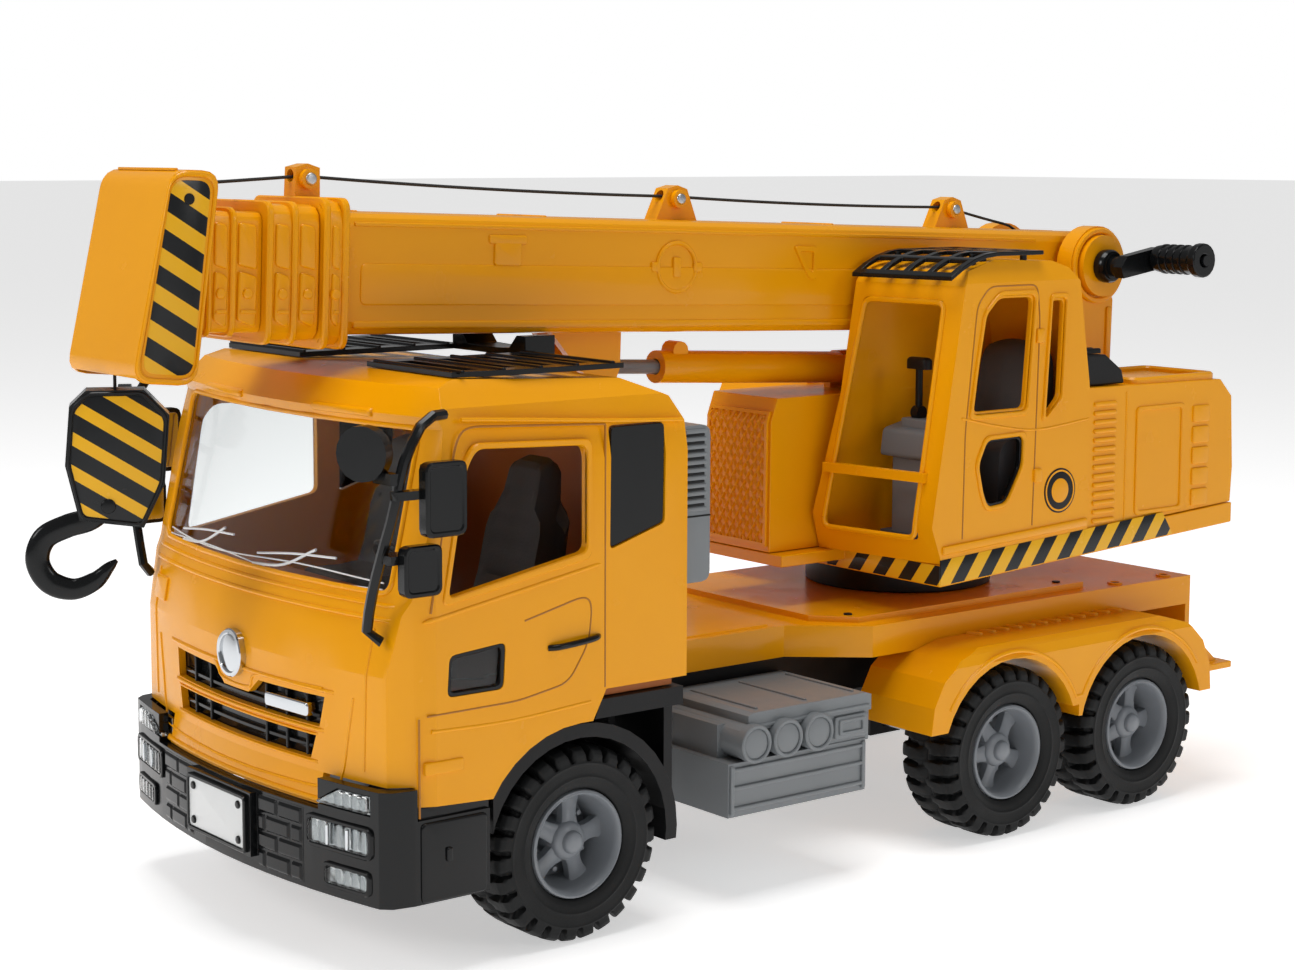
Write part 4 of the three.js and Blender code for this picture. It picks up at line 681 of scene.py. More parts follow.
def openSoft(corners, radius, steps=6):
    # the same rounding, leaving the two ends of the line as they are
    corners = np.asarray(corners, float)
    line = softCorners(corners, radius, steps).reshape(len(corners), steps, 2)[1:-1].reshape(-1, 2)
    return np.concatenate([corners[:1], line, corners[-1:]])


doorLine = sideTube(np.array([[-88.7, 92.8], [-88.7, 120], [-88.7, 150], [-88.7, 188]]))
doorTop = sideTube(openSoft([[-88.7, 188.0], [-148.5, 191.0], [-152.5, 186.0], [-163.0, 128.0]], 6))
doorFoot = sideTube(openSoft([[-164.5, 92.6], [-127, 92.9], [-105, 96.5], [-96, 110], [-94.5, 124], [-98, 127],
    [-124, 121]], 5))
bumperSeam = sideTube(np.array([[-168.0, 57.5], [-168.0, 75], [-168.0, 92]]))
for sign, side in ((1, "left"), (-1, "right")):
    seams = together(doorLine, doorTop, doorFoot, bumperSeam)
    # the door seams carry painted shade: dark yellow lines for the shadow in the grooves
    placed(f"door_seams_{side}", onSide(seams, sign), "grooveShadowYellow", "truck")
    waist = tube(np.stack([np.full(30, 94.6), np.linspace(-166, -90, 30), 125 + 13 * np.linspace(0, 1, 30)],
        -1), np.concatenate([[0.3], np.full(28, 0.9), [0.3]]), 10, (1, 0, 0))
    roofCrease = tube(smoothPath([[94.5, -150, 193.5], [94.5, -120, 191.5], [94.5, -88, 189.2],
        [94.5, -53, 187.2]], 30), 0.7, 10, (1, 0, 0))
    embossed = pad(rectangle(-166, 72, -150, 76.5, 1), "x", 94.2, 95.7, 0.5)
    lowRib = tube(smoothPath([[94.5, -163, 87], [94.5, -130, 86.3], [94.5, -95, 88.3]], 24), 0.8, 10, (1, 0, 0))
    creases = together(waist, roofCrease, embossed, lowRib)
    placed(f"door_creases_{side}", onSide(creases, sign), "cabYellow", "truck")
    handleBar = tube(smoothPath([[94.6, -113.5, 110.0], [96.8, -110.5, 110.3], [97.2, -102, 110.9],
        [96.6, -94.5, 111.5], [94.6, -91.5, 111.6]], 24), 1.15, 10)
    placed(f"door_handle_{side}", onSide(handleBar, sign), "glossBlack", "truck")
    lowOutline = softCorners([[-132, 114.5], [-155.5, 112.5], [-156.5, 98], [-133, 98]], 2.5)
    lowInner = softCorners([[-133.6, 112.9], [-154.1, 111.1], [-155.0, 99.5], [-134.5, 99.5]], 2.0)
    lowFrame = ring(lowOutline, lowInner, "x", 92.3, 94.8)
    placed(f"low_window_frame_{side}", onSide(lowFrame, sign), "glossBlack", "truck")
    doorOutline = softCorners([[-97, 181], [-144, 183], [-148, 177], [-156, 132.5], [-97, 143]], 3, 7)
    doorWider = softCorners([[-94.9, 183.2], [-145.2, 185.2], [-150.2, 178], [-158.6, 129.8], [-94.9, 140.4]],
        3, 7)
    doorFrame = ring(doorWider, doorOutline, "x", 94.2, 95.75, 0.5)
    placed(f"door_window_rim_{side}", onSide(doorFrame, sign), "cabYellow", "truck")
for sign, side in ((1, "left"), (-1, "right")):
    paneOutline = softCorners([[-133.4, 113.1], [-154.3, 111.3], [-155.2, 99.3], [-134.3, 99.3]], 2.0)
    pane = pad(paneOutline, "x", 92.6, 93.6, 0.2)
    placed(f"low_window_pane_{side}", onSide(pane, sign), "screenClear", "truck")

# dividers in both slots and the plain badge bar
dividers = [onFront(pad(rectangle(x, z0, x + 1.1, z1, 0.3), "y", 3.6, 0.9, 0.4))
    for x in (-36, -22, 20, 33, 45) for z0, z1 in ((72.4, 80.2), (84.5, 94.0))]
placed("grille_dividers", together(*dividers), "glossBlack", "truck")
slotRim = together(frontStrip(-52.5, 56.5, 82.3, 83.6, 1.0, 0.5), frontStrip(-50, 53, 70.6, 71.8, 0.9, 0.5),
    frontStrip(-49.5, 53, 80.7, 81.6, 0.7, 0.4))
placed("grille_surround", slotRim, "cabYellow", "truck")
badgeBar = onFront(pad(rectangle(22.5, 86.6, 48.5, 91.6, 1.4), "y", 2.5, -1.0, 0.6))
emblem = onFront(together(pad(disc(0, 102, 8.2), "y", 1.0, -1.9, 0.9)))
emblemRing = onFront(ring(disc(0, 102, 8.9, 48), disc(0, 102, 7.0, 48), "y", 0.5, -2.6, 0.4))
placed("front_badge_blank", together(badgeBar, emblem, emblemRing), "mirrorBright", "truck")

# wipers and the ridges moulded on the foot of the screen
def onScreen(points):
    # lays a line on the bowed screen
    points = np.asarray(points, float).copy()
    points[:, 1] = cabFrontAt(points[:, 0], points[:, 2]) + 0.35
    return points
wipers = [tube(onScreen(smoothPath([[x0, 0, 134.6], [x0 + 20, 0, 136.6], [x0 + 38, 0, 144.0]], 26)), 0.55, 8,
    (0, 1, 0)) for x0 in (-62, 2)]
blades = [tube(onScreen(smoothPath([[x0, 0, 138.5], [x0 + 24, 0, 141.2], [x0 + 48, 0, 142.5]], 26)), 0.45, 8,
    (0, 1, 0)) for x0 in (-64, 4)]
ridges = [tube(onScreen(smoothPath([[-78, 0, z], [-30, 0, z + 1.4 * s], [30, 0, z - 1.2 * s], [78, 0, z]], 60)),
    0.3, 8, (0, 1, 0)) for z, s in ((134.8, 1), (137.0, -1))]
placed("screen_wipers", together(*wipers, *blades, *ridges), "plateWhite", "truck")

# rubber line round the screen
screenEdge = np.concatenate([softCorners([[-82, 133.5], [82, 133.5], [82, 190], [-82, 190]], 5, 8),
    softCorners([[-82, 133.5], [82, 133.5], [82, 190], [-82, 190]], 5, 8)[:1]])
screenEdge = np.stack([np.interp(np.linspace(0, len(screenEdge) - 1, 160), np.arange(len(screenEdge)),
    screenEdge[:, k]) for k in (0, 1)], -1)
edgePath = np.stack([screenEdge[:, 0], cabFrontAt(screenEdge[:, 0], screenEdge[:, 1]) + 0.2, screenEdge[:, 1]],
    -1)
placed("screen_rim", tube(edgePath, 1.1, 10, (0.0, 1.0, 0.0)), "cabYellow", "truck")

# number plate without a number, on its black block
plateY = -194.5
plateParts = pad(rectangle(-21, 34, 21, 53, 1.5), "y", plateY + 0.5, plateY - 0.9, 0.5)
placed("plate_blank", plateParts, "plateWhite", "truck")
plateRim = ring(rectangle(-22.2, 32.8, 22.2, 54.2, 2.2), rectangle(-20.6, 34.4, 20.6, 52.6, 1.2), "y",
    plateY + 0.5, plateY - 1.5, 0.4)
screws = [pad(disc(x, z, 1.5, 20), "y", plateY - 0.5, plateY - 1.7, 0.5) for x in (-17, 17) for z in (37, 50)]
placed("plate_rim", together(plateRim, *screws), "glossBlack", "truck")

# moulded brick grid of the bumper face: raised bricks with grooves between, in three staggered rows
bumperFace = {"z0": 28.6, "z1": 55.6, "rows": 4, "brick": 15.0, "groove": 1.1, "lift": 0.8}


def bumperGrid(x0, x1):
    # height is the lift times how far a point is inside its brick, past half the groove, up to one
    x = np.linspace(x0, x1, 150)[None, :] + np.zeros((56, 1))
    z = np.linspace(bumperFace["z0"], bumperFace["z1"], 56)[:, None] + np.zeros((1, 150))
    rowHeight = (bumperFace["z1"] - bumperFace["z0"]) / bumperFace["rows"]
    row = np.floor((z - bumperFace["z0"]) / rowHeight)
    inRow = (z - bumperFace["z0"]) % rowHeight
    inBrick = (x + 300 + row * bumperFace["brick"] / 2) % bumperFace["brick"]
    near = np.minimum(np.minimum(inRow, rowHeight - inRow), np.minimum(inBrick, bumperFace["brick"] - inBrick))
    near = np.minimum(near, np.minimum(x - x0, x1 - x))
    height = bumperFace["lift"] * np.clip((near - bumperFace["groove"] / 2) / 0.7, 0, 1)
    surface = bumperY + bowAt(x)
    return panel(np.stack([x, surface - 0.05 - height, z], -1), np.stack([x, surface + 1.0, z], -1))


filler = together(pad(rectangle(-167.8, 50, -138.2, 61, 1), "x", 84, 93.6, 0.6),
    pad(rectangle(-167.6, 27.5, -140.5, 55.6, 2), "x", 94, 95.9, 0.7),
    pad(rectangle(-158, 41, -155.6, 46, 0.8), "x", 94, 97.0, 0.5))
placed("bumper_side_panels", together(filler, mirrored(filler)), "glossBlack", "truck")
placed("bumper_bricks", together(bumperGrid(-52, -25), bumperGrid(25, 52)), "glossBlack", "truck")

# lamps: ribbed clear lens over each bright reflector
lampShapes = {"main": rectangle(55.6, 44.6, 86.4, 53.4, 2.2), "fog": rectangle(64.6, 31.6, 85.4, 37.9, 1.8),
    "wedge": softCorners([[60, 59.4], [85.6, 59.4], [85.6, 65.1], [71, 65.1]], 1.2)}


def onBumper(part):
    # moves a part drawn flat on to the bowed bumper face
    points = part[0].copy()
    points[:, 1] += bumperY + bowAt(points[:, 0])
    return points, part[1]


for sign, side in ((1, "left"), (-1, "right")):
    lens = [onBumper(pad(outline, "y", 0.4, -1.3, 0.8)) for outline in lampShapes.values()]
    lens = together(*lens)
    placed(f"lamp_lens_{side}", onSide(lens, sign), "lampClear", "truck")
    rims = together(onBumper(ring(rectangle(54.2, 43.2, 87.8, 54.8, 3), rectangle(55.8, 44.8, 86.2, 53.2, 2),
        "y", 1.0, -1.2, 0.4)),
                    onBumper(ring(rectangle(63.2, 30.3, 86.8, 39.2, 2.5),
                        rectangle(64.8, 31.9, 85.2, 37.6, 1.7), "y", 1.0, -1.1, 0.4)))
    placed(f"lamp_rims_{side}", onSide(rims, sign), "glossBlack", "truck")
    divider = together(*[onBumper(pad(rectangle(x, 45.4, x + 1.0, 52.6, 0.3), "y", -0.6, -1.7, 0.3))
        for x in (66.0, 76.0)])
    placed(f"lamp_dividers_{side}", onSide(divider, sign), "mirrorBright", "truck")
print("cab front dressed")

# cab interior: ribbed seats, dashboard, wheel and tunnel
seatShape = {"half": 17.5, "neck": 0.62, "head": 150.0}


def ribbedSeat(x):
    # cushion and back as one padded profile swept across, its face pushed in where the sewn channels run
    profile = np.array([[-128, 93], [-129, 112], [-124, 118.5], [-108, 118], [-98.5, 119.5], [-95.5, 128],
        [-91.5, 146], [-88, 160], [-85.5, 168.5], [-79.5, 170.5], [-75.5, 166.5],
                        [-76, 150], [-80, 125], [-84, 100], [-86, 93]], float)
    steps = np.linspace(0, len(profile) - 1, 110)
    y = np.interp(steps, np.arange(len(profile)), profile[:, 0])
    z = np.interp(steps, np.arange(len(profile)), profile[:, 1])
    s = np.linspace(-1, 1, 29)[:, None]
    pull = (1 - np.abs(s) ** 6) ** 0.35
    middle = np.array([-98.0, 118.0])
    # the headrest is narrower than the back
    slim = 1 - (1 - seatShape["neck"]) * np.clip((z[None, :] - seatShape["head"]) / 5.0, 0, 1)
    channel = 0.9 * np.clip(1 - np.abs(((z[None, :] - 100) % 10.5) - 5.2) / 1.1, 0,
        1) * (np.abs(s) < 0.72) * (z[None, :] > 120)
    grid = np.stack([x + seatShape["half"] * s * slim,
        middle[0] + (y[None, :] - middle[0]) * (0.80 + 0.20 * pull) + channel,
                     middle[1] + (z[None, :] - middle[1]) * (0.80 + 0.20 * pull)], -1)
    return loft(grid)


seats = together(ribbedSeat(-42), ribbedSeat(42))
placed("cab_seats", seats, "seatGrey", "truck", ("cab_interior",))
dash = loft(np.stack([stood(softCorners([[-164, 86], [-148, 86], [-146, 122], [-152, 128], [-165, 129],
    [-168, 116]], 4), "x", x) for x in np.linspace(-77, 77, 9)]))
tub = together(pad(rectangle(-91, -93, 91, -54.4, 1), "z", 88.6, 91, 0.3),
    pad(rectangle(-90, -156, 90, -92, 1), "z", 84, 91, 0.3),
    pad(rectangle(-14, -150, 14, -60, 3), "z", 90, 103, 2.5),
               pad(rectangle(-86, 92, 86, 196, 5), "y", -54.6, -56.6, 0.8))
vents = [pad(rectangle(x - 9, 114, x + 9, 121, 1.5), "y", -148.5, -145.6, 0.6) for x in (-60, -36, 10)]
# tub, dash and vents take the brown painted shade of the cab's inside
placed("cab_tub", together(dash, tub, *vents), "interiorShadeBrown", "truck", ("cab_interior",))


def steeringWheel():
    # a torus (rim radius plus section radius times cosine) leaned back about X, with two bars and a column
    angle = np.linspace(0, 2 * np.pi, 49)[:-1]
    lean = -0.7
    section = np.linspace(0, 2 * np.pi, 11)[:-1]
    r = 14 + 1.6 * np.cos(section)[None, :]
    flat = np.stack([r * np.cos(angle)[:, None], r * np.sin(angle)[:, None],
        1.6 * np.sin(section)[None, :] + 0 * angle[:, None]], -1)
    rotation = np.array([[1, 0, 0], [0, math.cos(lean), -math.sin(lean)], [0, math.sin(lean), math.cos(lean)]])
    centre = np.array([40.0, -136.0, 134.0])
    bars = [tube((np.array([[-13.5, 0, 0], [-4, 0, -1], [4, 0, -1], [13.5, 0, 0]]) @ rotation.T) + centre, 1.3,
        8), tube((np.array([[0, -13.5, 0], [0, -6, -1], [0, 0, -1.5]]) @ rotation.T) + centre, 1.3, 8,
        (1, 0, 0)),
            tube((np.array([[0, 0, 0], [0, 0, -10], [0, 0, -24]]) @ rotation.T) + centre, 2.2, 12, (1, 0, 0))]
    return together(wrapped(flat @ rotation.T + centre), *bars)


placed("steering_wheel", steeringWheel(), "satinBlack", "truck")
print("cab interior fitted")

# truck body: lockers, intake, wings, deck
locker = {"face": 92.0, "boxY": (-28, 43), "boxZ": (33, 54)}
for sign, side in ((1, "left"), (-1, "right")):
    face = locker["face"]
    ribs = [pad(rectangle(locker["boxY"][0] + 1, z, locker["boxY"][1] - 1, z + 1.6, 0.7), "x", face - 1,
        face + 1.0, 0.5) for z in (35.5, 43.5, 50.5)]
    lidRibs = [pad(rectangle(-16.5, z, 44.5, z + 1.4, 0.6), "x", face - 1, face + 0.8, 0.4) for z in (66.2,)]
    posts = [pad(rectangle(y, 34, y + 1.8, 53, 0.7), "x", face - 1, face + 1.2, 0.5) for y in (-27.3, 40.5)]
    tankRims = [ring(disc(y, 61, 7.4), disc(y, 61, 5.9), "x", face, face + 4.2, 0.4) for y in (-17, -1, 15)]
    tankCaps = [pad(disc(y, 61, 6.3), "x", face, face + 3.6, 1.2) for y in (-17, -1, 15)]
    bracket = [pad(rectangle(26, 55.5, 43.5, 64.5, 1.5), "x", face - 1, face + 0.9, 0.5),
        ring(rectangle(27.8, 57, 41.6, 63.2, 1), rectangle(29.4, 58.4, 40, 61.8, 0.6), "x", face, face + 1.7,
        0.3)]
    top = [pad(rectangle(48, y, 88, y + 1.3, 0.5), "z", 71.5, 72.9, 0.3) for y in (-11, 14, 39)]
    part = together(*ribs, *lidRibs, *posts, *tankRims, *tankCaps, *bracket, *top)
    placed(f"locker_ribs_{side}", onSide(part, sign), "tankSilver", "truck")
    if sign > 0:  # the intake is on the left only
        slats = together(*[pad(rectangle(-48.2, z, -38.2, z + 1.5, 0.6), "x", 89.4, 90.8, 0.4)
            for z in np.arange(152.0, 182.0, 2.9)])
        placed("intake_slats", slats, "tankSilver", "truck")
        gaps = together(*[pad(rectangle(-47.6, z, -38.8, z + 1.0, 0.3), "x", 89.2, 90.12, 0.1)
            for z in np.arange(153.7, 180.0, 2.9)])
        placed("intake_slots", gaps, "satinBlack", "truck")
        placed("intake_seam", tube(np.array([[90.0, -50.4, 150.0], [90.0, -45, 150.0], [90.0, -36, 150.0]]),
            0.35, 8), "satinBlack", "truck")
    # wing lip that follows both arches, and the slanted vent ridges beside the deck
    turn = np.linspace(math.pi * 0.995, math.pi * 0.145, 40)
    front = np.stack([wheelPlaces["middle"] + wheel["archRadius"] * np.cos(turn),
        wheel["axleZ"] + 43.0 * np.sin(turn)], -1)
    turn = np.linspace(math.pi * 0.855, math.pi * 0.01, 40)
    back = np.stack([wheelPlaces["rear"] + wheel["archRadius"] * np.cos(turn),
        wheel["axleZ"] + 43.0 * np.sin(turn)], -1)
    lipLine = np.concatenate([front[8:], back[:-8]])
    lip = tube(np.stack([np.full(len(lipLine), 95.3), lipLine[:, 0], lipLine[:, 1]], -1), 0.9, 8, (1, 0, 0))
    vents = [pad(softCorners([[68.6, y], [74.4, y + 3.2], [74.4, y + 5.4], [68.6, y + 2.2]], 0.8), "z", 81.0,
        83.4, 0.7) for y in np.linspace(122, 210, 12)]
    part = together(lip, *vents)
    placed(f"wing_lip_{side}", onSide(part, sign), "cabYellow", "truck")
deckHoles = [pad(disc(x, y, 2.1, 24), "z", 91.0, 91.75, 0.1) for x in (-61, 61)
    for y in (225, 258)] + [pad(disc(x, y, 1.8, 24), "z", 94, 94.6, 0.1) for x in (-52, 52) for y in (70, 196)]
placed("deck_holes", together(*deckHoles), "satinBlack", "truck")
deckBosses = [ring(disc(x, y, 3.4, 28), disc(x, y, 2.0, 28), "z", 91.0, 92.3, 0.3) for x in (-61, 61)
    for y in (225, 258)]
deckLine = [tube(np.array([[x, -48, 91.5], [x, -10, 91.5], [x, 36, 91.5]]), 0.6, 8) for x in (-40, 40)]
placed("deck_bosses", together(*deckBosses, *deckLine), "cabYellow", "truck")
rackSlats = [pad(rectangle(sx * 54 - 29, y, sx * 54 + 29, y + 1.5, 0.5), "z", 207.6, 209.0, 0.4)
    for sx in (-1, 1) for y in (-142, -124.6, -108.6, -92.6, -76.6)]
placed("rack_slats", together(*rackSlats), "glossBlack", "truck")
print("truck body dressed")

# mirrors: bright faces set in the round and long heads
for sign, side in ((1, "left"), (-1, "right")):
    longFaces = together(pad(rectangle(-169.6, 157.6, -156.4, 179.6, 2), "x", 100.9, 100.3, 0.2),
        pad(rectangle(-176.8, 137.4, -164.7, 151.8, 2), "x", 98.4, 97.8, 0.2))
    rims = together(ring(rectangle(-171.3, 155.8, -154.7, 181.3, 3), rectangle(-169.3, 157.8, -156.7, 179.3, 2),
        "x", 101.5, 105.6, 0.6),
                    ring(rectangle(-178.3, 135.8, -163.2, 153.3, 3), rectangle(-176.4, 137.6, -165.1, 151.4, 2),
                        "x", 99.0, 103.1, 0.6))
    placed(f"mirror_faces_{side}", onSide(longFaces, sign), "mirrorBright", "truck")
    placed(f"mirror_rims_{side}", onSide(rims, sign), "glossBlack", "truck")

# turret
turret = {"half": 82.0, "house": 81.0, "front": 93.0, "baseZ": 107.15, "rise": 0.055}


def floorRise(y):
    # the turret's underside climbs evenly behind its front edge
    return turret["rise"] * np.maximum(0.0, np.asarray(y, float) - turret["front"])


sideBand = np.array([[93.2, turret["baseZ"] + 0.6], [238.0, turret["baseZ"] + 0.6 + float(floorRise(238))],
    [231.0, turret["baseZ"] + 11.2 + float(floorRise(231))], [93.2, turret["baseZ"] + 11.2]])
placed("hazard_band_side", pad(sideBand, "x", 81.6, 82.22, 0.1), "hazardStripes", "turret")
placed("hazard_band_front", pad(rectangle(14, turret["baseZ"] + 0.6, 81.9, turret["baseZ"] + 8.8, 0.3), "y",
    93.6, 92.78, 0.1), "hazardStripes", "turret")

# machinery house: louvres, framed panel, ladder of small squares, lip round the roof
for sign, side in ((1, "left"), (-1, "right")):
    face = turret["house"]
    slats = [pad(rectangle(185.5, z, 199.5, z + 2.1, 0.8), "x", face - 0.8, face + 1.1, 0.8)
        for z in np.arange(121.0, 176.5, 3.9)]
    frameOuter = rectangle(213, 126, 245, 174, 2.5)
    frameInner = rectangle(215, 128, 243, 172, 1.8)
    framed = ring(frameOuter, frameInner, "x", face - 0.8, face + 0.9, 0.4)
    squares = [pad(rectangle(251, z, 262, z + 7.6, 1.2), "x", face - 0.8, face + 0.9, 0.5)
        for z in np.arange(127.0, 172.0, 9.4)]
    seamLine = tube(np.array([[face, 206.5, 122], [face, 206.5, 150], [face, 206.5, 181]]), 0.5, 8, (1, 0, 0))
    step = pad(softCorners([[184, 112.4 + 5.5], [278, 118.6 + 5], [278, 121.5 + 4.5], [184, 115.6 + 5]], 1),
        "x", face - 0.8, face + 0.9, 0.5)
    part = together(*slats, framed, *squares, seamLine, step)
    placed(f"house_relief_{side}", onSide(part, sign), "cabYellow", "turret")
roofLip = ring(rectangle(38, 213, 79.5, 269, 5), rectangle(41, 216, 76.5, 266, 4), "z", 182.6, 186.4, 0.9)
roofPad = pad(rectangle(43, 219, 74, 262, 4), "z", 182.6, 184.6, 0.8)
rearGrid = [pad(rectangle(x, 128, x + 17, 168, 2), "y", 279.2, 280.6, 0.6) for x in (-66, -42, 25, 49)]
rearSlats = [pad(rectangle(-18, z, 18, z + 2.2, 0.9), "y", 279.2, 280.9, 0.8) for z in np.arange(128, 170, 4.2)]
placed("house_roof_lip", together(roofLip, mirrored(roofLip), roofPad, mirrored(roofPad), *rearGrid,
    *rearSlats), "cabYellow", "turret")
coverRidges = [pad(rectangle(x, 185.2, x + 2.0, 195.6, 0.8), "z", 198.0, 200.2, 0.8)
    for x in np.arange(52.5, 76, 4.2)]
placed("engine_cover_ridges", together(*coverRidges), "satinBlack", "turret")

# diamond mesh on the nose: two sets of slanting ridges, each a rounded bump wherever its phase is near zero
mesh = {"x": (-23.5, 15.5), "z": (119.0, 176.0), "pitch": 5.6, "lift": 1.0}
across = np.linspace(*mesh["x"], 150)[None, :] + np.zeros((210, 1))
upward = np.linspace(*mesh["z"], 210)[:, None] + np.zeros((1, 150))
climb = np.abs(((across * 1.25 + upward * 0.8) / mesh["pitch"]) % 1.0 - 0.5)
fall = np.abs(((across * 1.25 - upward * 0.8) / mesh["pitch"]) % 1.0 - 0.5)
edgeNear = np.minimum(np.minimum(across - mesh["x"][0], mesh["x"][1] - across),
    np.minimum(upward - mesh["z"][0], mesh["z"][1] - upward))
relief = mesh["lift"] * np.clip(np.maximum(np.clip((0.17 - climb) / 0.12, 0, 1),
    np.clip((0.17 - fall) / 0.12, 0, 1)) + (edgeNear < 1.6), 0, 1)
noseFace = np.interp(upward, [116, 171.5, 181.5], [57, 57.5, 61])
placed("nose_mesh", panel(np.stack([across, noseFace - 0.15 - relief, upward], -1),
    np.stack([across, noseFace + 1.0, upward], -1)), "cabYellow", "turret", shade=60)
hoodSlots = [pad(rectangle(-74, y, -32, y + 4.0, 1.6), "z", 182.4, 184.6, 1.2) for y in (122, 131, 140, 149)]
hoodPanel = [ring(rectangle(112, 126, 172, 172, 3), rectangle(114.4, 128.4, 169.6, 169.6, 2), "x", -80.2, -82.0,
    0.4)]
placed("hood_relief", together(*hoodSlots, *hoodPanel), "cabYellow", "turret")

# operator's cab: window frames, door lines, hinges, ledge and a plain roundel
cabWindows = {
    "door": [[110, 177], [142, 177], [146, 225.5], [125, 225.5], [117, 218], [113, 197]],
    "quarter": [[153.5, 173], [163, 181], [165, 223.5], [156.5, 223.5]],
    "low": [[120, 138], [131, 139], [140, 154], [140.5, 166.5], [119, 166], [114, 156], [117, 144]],
}


def grown(corners, by):
    # scaled about its middle so that each half width grows by the given amount
    flat = np.asarray(corners, float)
    middle = (flat.max(0) + flat.min(0)) / 2
    half = (flat.max(0) - flat.min(0)) / 2
    return middle + (flat - middle) * (half + by) / half


for name, corners in cabWindows.items():
    radius = 3 if name != "quarter" else 2
    rim = ring(softCorners(grown(corners, 2.0), radius + 0.6, 7), softCorners(corners, radius, 7), "x", 81.2,
        82.9, 0.5)
    placed(f"operator_{name}_rim", rim, "cabYellow", "turret")
    lining = ring(softCorners(corners, radius, 7), softCorners(grown(corners, -1.1), radius, 7), "x", 79.6,
        81.6, 0.2)
    placed(f"operator_{name}_lining", lining, "glossBlack" if name == "low" else "cabYellow", "turret")
doorLines = [np.array([[105.5, 126], [106.2, 170], [112, 222], [119, 229.5], [147.5, 229.5], [149.3, 215],
    [148.0, 160], [147.0, 128]])]
lines = [sideTube(openSoft(line, 4), 0.42, 81.86) for line in doorLines]
crease = sideTube(smoothPath([[0, 104, 176], [0, 128, 171], [0, 150, 168.5], [0, 181, 171]], 40)[:, 1:], 0.6,
    81.8)
# the operator's door seams carry painted shade: dark yellow lines for the shadow in the grooves
placed("operator_door_seams", together(*lines), "grooveShadowYellow", "turret")
hinges = [pad(rectangle(147.2, z, 151.6, z + 6, 1), "x", 81.4, 83.3, 0.7) for z in (146, 205)]
ledge = [pad(softCorners([[94, 120.4], [181, 125.0], [181, 128.2], [94, 123.8]], 1), "x", 81.2, 83.2, 0.8)]
placed("operator_cab_relief", together(crease, *hinges, *ledge), "cabYellow", "turret")
roundel = {"y": 163.7, "z": 141.4, "r": 9.6}
badgeBack = pad(disc(roundel["y"], roundel["z"], roundel["r"], 48), "x", 81.6, 82.25, 0.1)
badgeRing = ring(disc(roundel["y"], roundel["z"], 8.9, 48), disc(roundel["y"], roundel["z"], 8.1, 48), "x",
    81.8, 82.4, 0.05)
badgeHeart = pad(disc(roundel["y"], roundel["z"], 5.2, 48), "x", 81.8, 82.4, 0.1)
placed("roundel_back", badgeBack, "satinBlack", "turret")
placed("roundel_rings", together(badgeRing, badgeHeart), "cabYellow", "turret")


frontLean = 0.15  # the operator's cab front leans forward towards its inner side
frontEdge = softCorners([[26, 127], [73.5, 127], [72.8, 223], [32, 223]], 4, 8)
frontEdge = np.concatenate([frontEdge, frontEdge[:1]])
frontEdge = np.stack([np.interp(np.linspace(0, len(frontEdge) - 1, 150), np.arange(len(frontEdge)),
    frontEdge[:, k]) for k in (0, 1)], -1)
frontLine = np.interp(frontEdge[:, 1], [132, 230], [88, 105])
frontPath = np.stack([frontEdge[:, 0], frontLine - frontLean * (turret["half"] - frontEdge[:, 0]),
    frontEdge[:, 1]], -1)
placed("operator_front_rim", tube(frontPath, 1.2, 10, (0, 1, 0)), "cabYellow", "turret")
guardPosts = [tube(np.array([[x, y - frontLean * (turret["half"] - x), 236.0],
    [x, y - frontLean * (turret["half"] - x), 239.5], [x, y - frontLean * (turret["half"] - x), 242.6]]), 1.5,
    12, (0, 1, 0)) for x in (36, 74) for y in (118.0, 124.0)] + \
             [tube(np.array([[x, 147, 237.0], [x, 147, 239.5], [x, 147, 242.6]]), 1.5, 12, (0, 1, 0))
                 for x in (36, 74)]
placed("roof_guard_posts", together(*guardPosts), "glossBlack", "turret")

# operator's seat, console and lever
floorTop = 72 + 44.15 + 0.3 + float(floorRise(181.7)) + 0.3
seatLow = together(pad(rectangle(34, 104, 76, 176, 2), "z", floorTop, floorTop + 3, 0.4),
                   loft(np.stack([stood(softCorners([[137 + 0.06 * abs(s) ** 2, floorTop + 2],
                       [171, floorTop + 2], [169.5, 200 - 2.2 * abs(s) ** 2], [162, 206 - 3 * abs(s) ** 2],
                       [155 + 1.2 * abs(s), 200 - 2.5 * abs(s) ** 2], [151, 166], [137.5, 161]], 5), "x",
                       57 + 14.6 * s)
                                   for s in np.linspace(-1, 1, 15)])))
placed("operator_seat", seatLow, "seatGrey", "turret", ("operator_interior",))
console = together(pad(rectangle(40, 105, 70, 121, 2), "z", floorTop + 2, 157, 1.0),
    loft(np.stack([stood(softCorners([[102.5, 156.5], [124, 156], [122, 172], [104, 168]], 2), "x", x)
    for x in np.linspace(36, 74, 5)])),
                   pad(rectangle(42, 108, 68, 119, 1.5), "z", 168, 172.8, 0.8))
placed("operator_console", console, "consoleGrey", "turret", ("operator_interior",))
lever = together(tube(np.array([[48, 113, 166], [48, 113, 180], [48, 113, 196]]), 1.6, 12, (0, 1, 0)),
    pad(rectangle(42, 110.5, 54, 115.5, 2), "z", 193.5, 198.5, 1.6),
                 turned([[0.2, -2], [3, -2], [3, 2], [0.2, 2]], 20, 113, 175, False, 48, 1))
placed("operator_lever", lever, "satinBlack", "turret", ("operator_interior",))
print("turret dressed")

# boom
boom = {"pivotY": 240.0, "pivotZ": 233.0, "tilt": math.radians(2.1), "half": 22.0, "top": 15.2, "bottom": -29.6}


eyePlaces = [(-65.4, 24.3), (-224, 24.8), (-397.2, 27.5)]  # where the cord runs through the three eyes


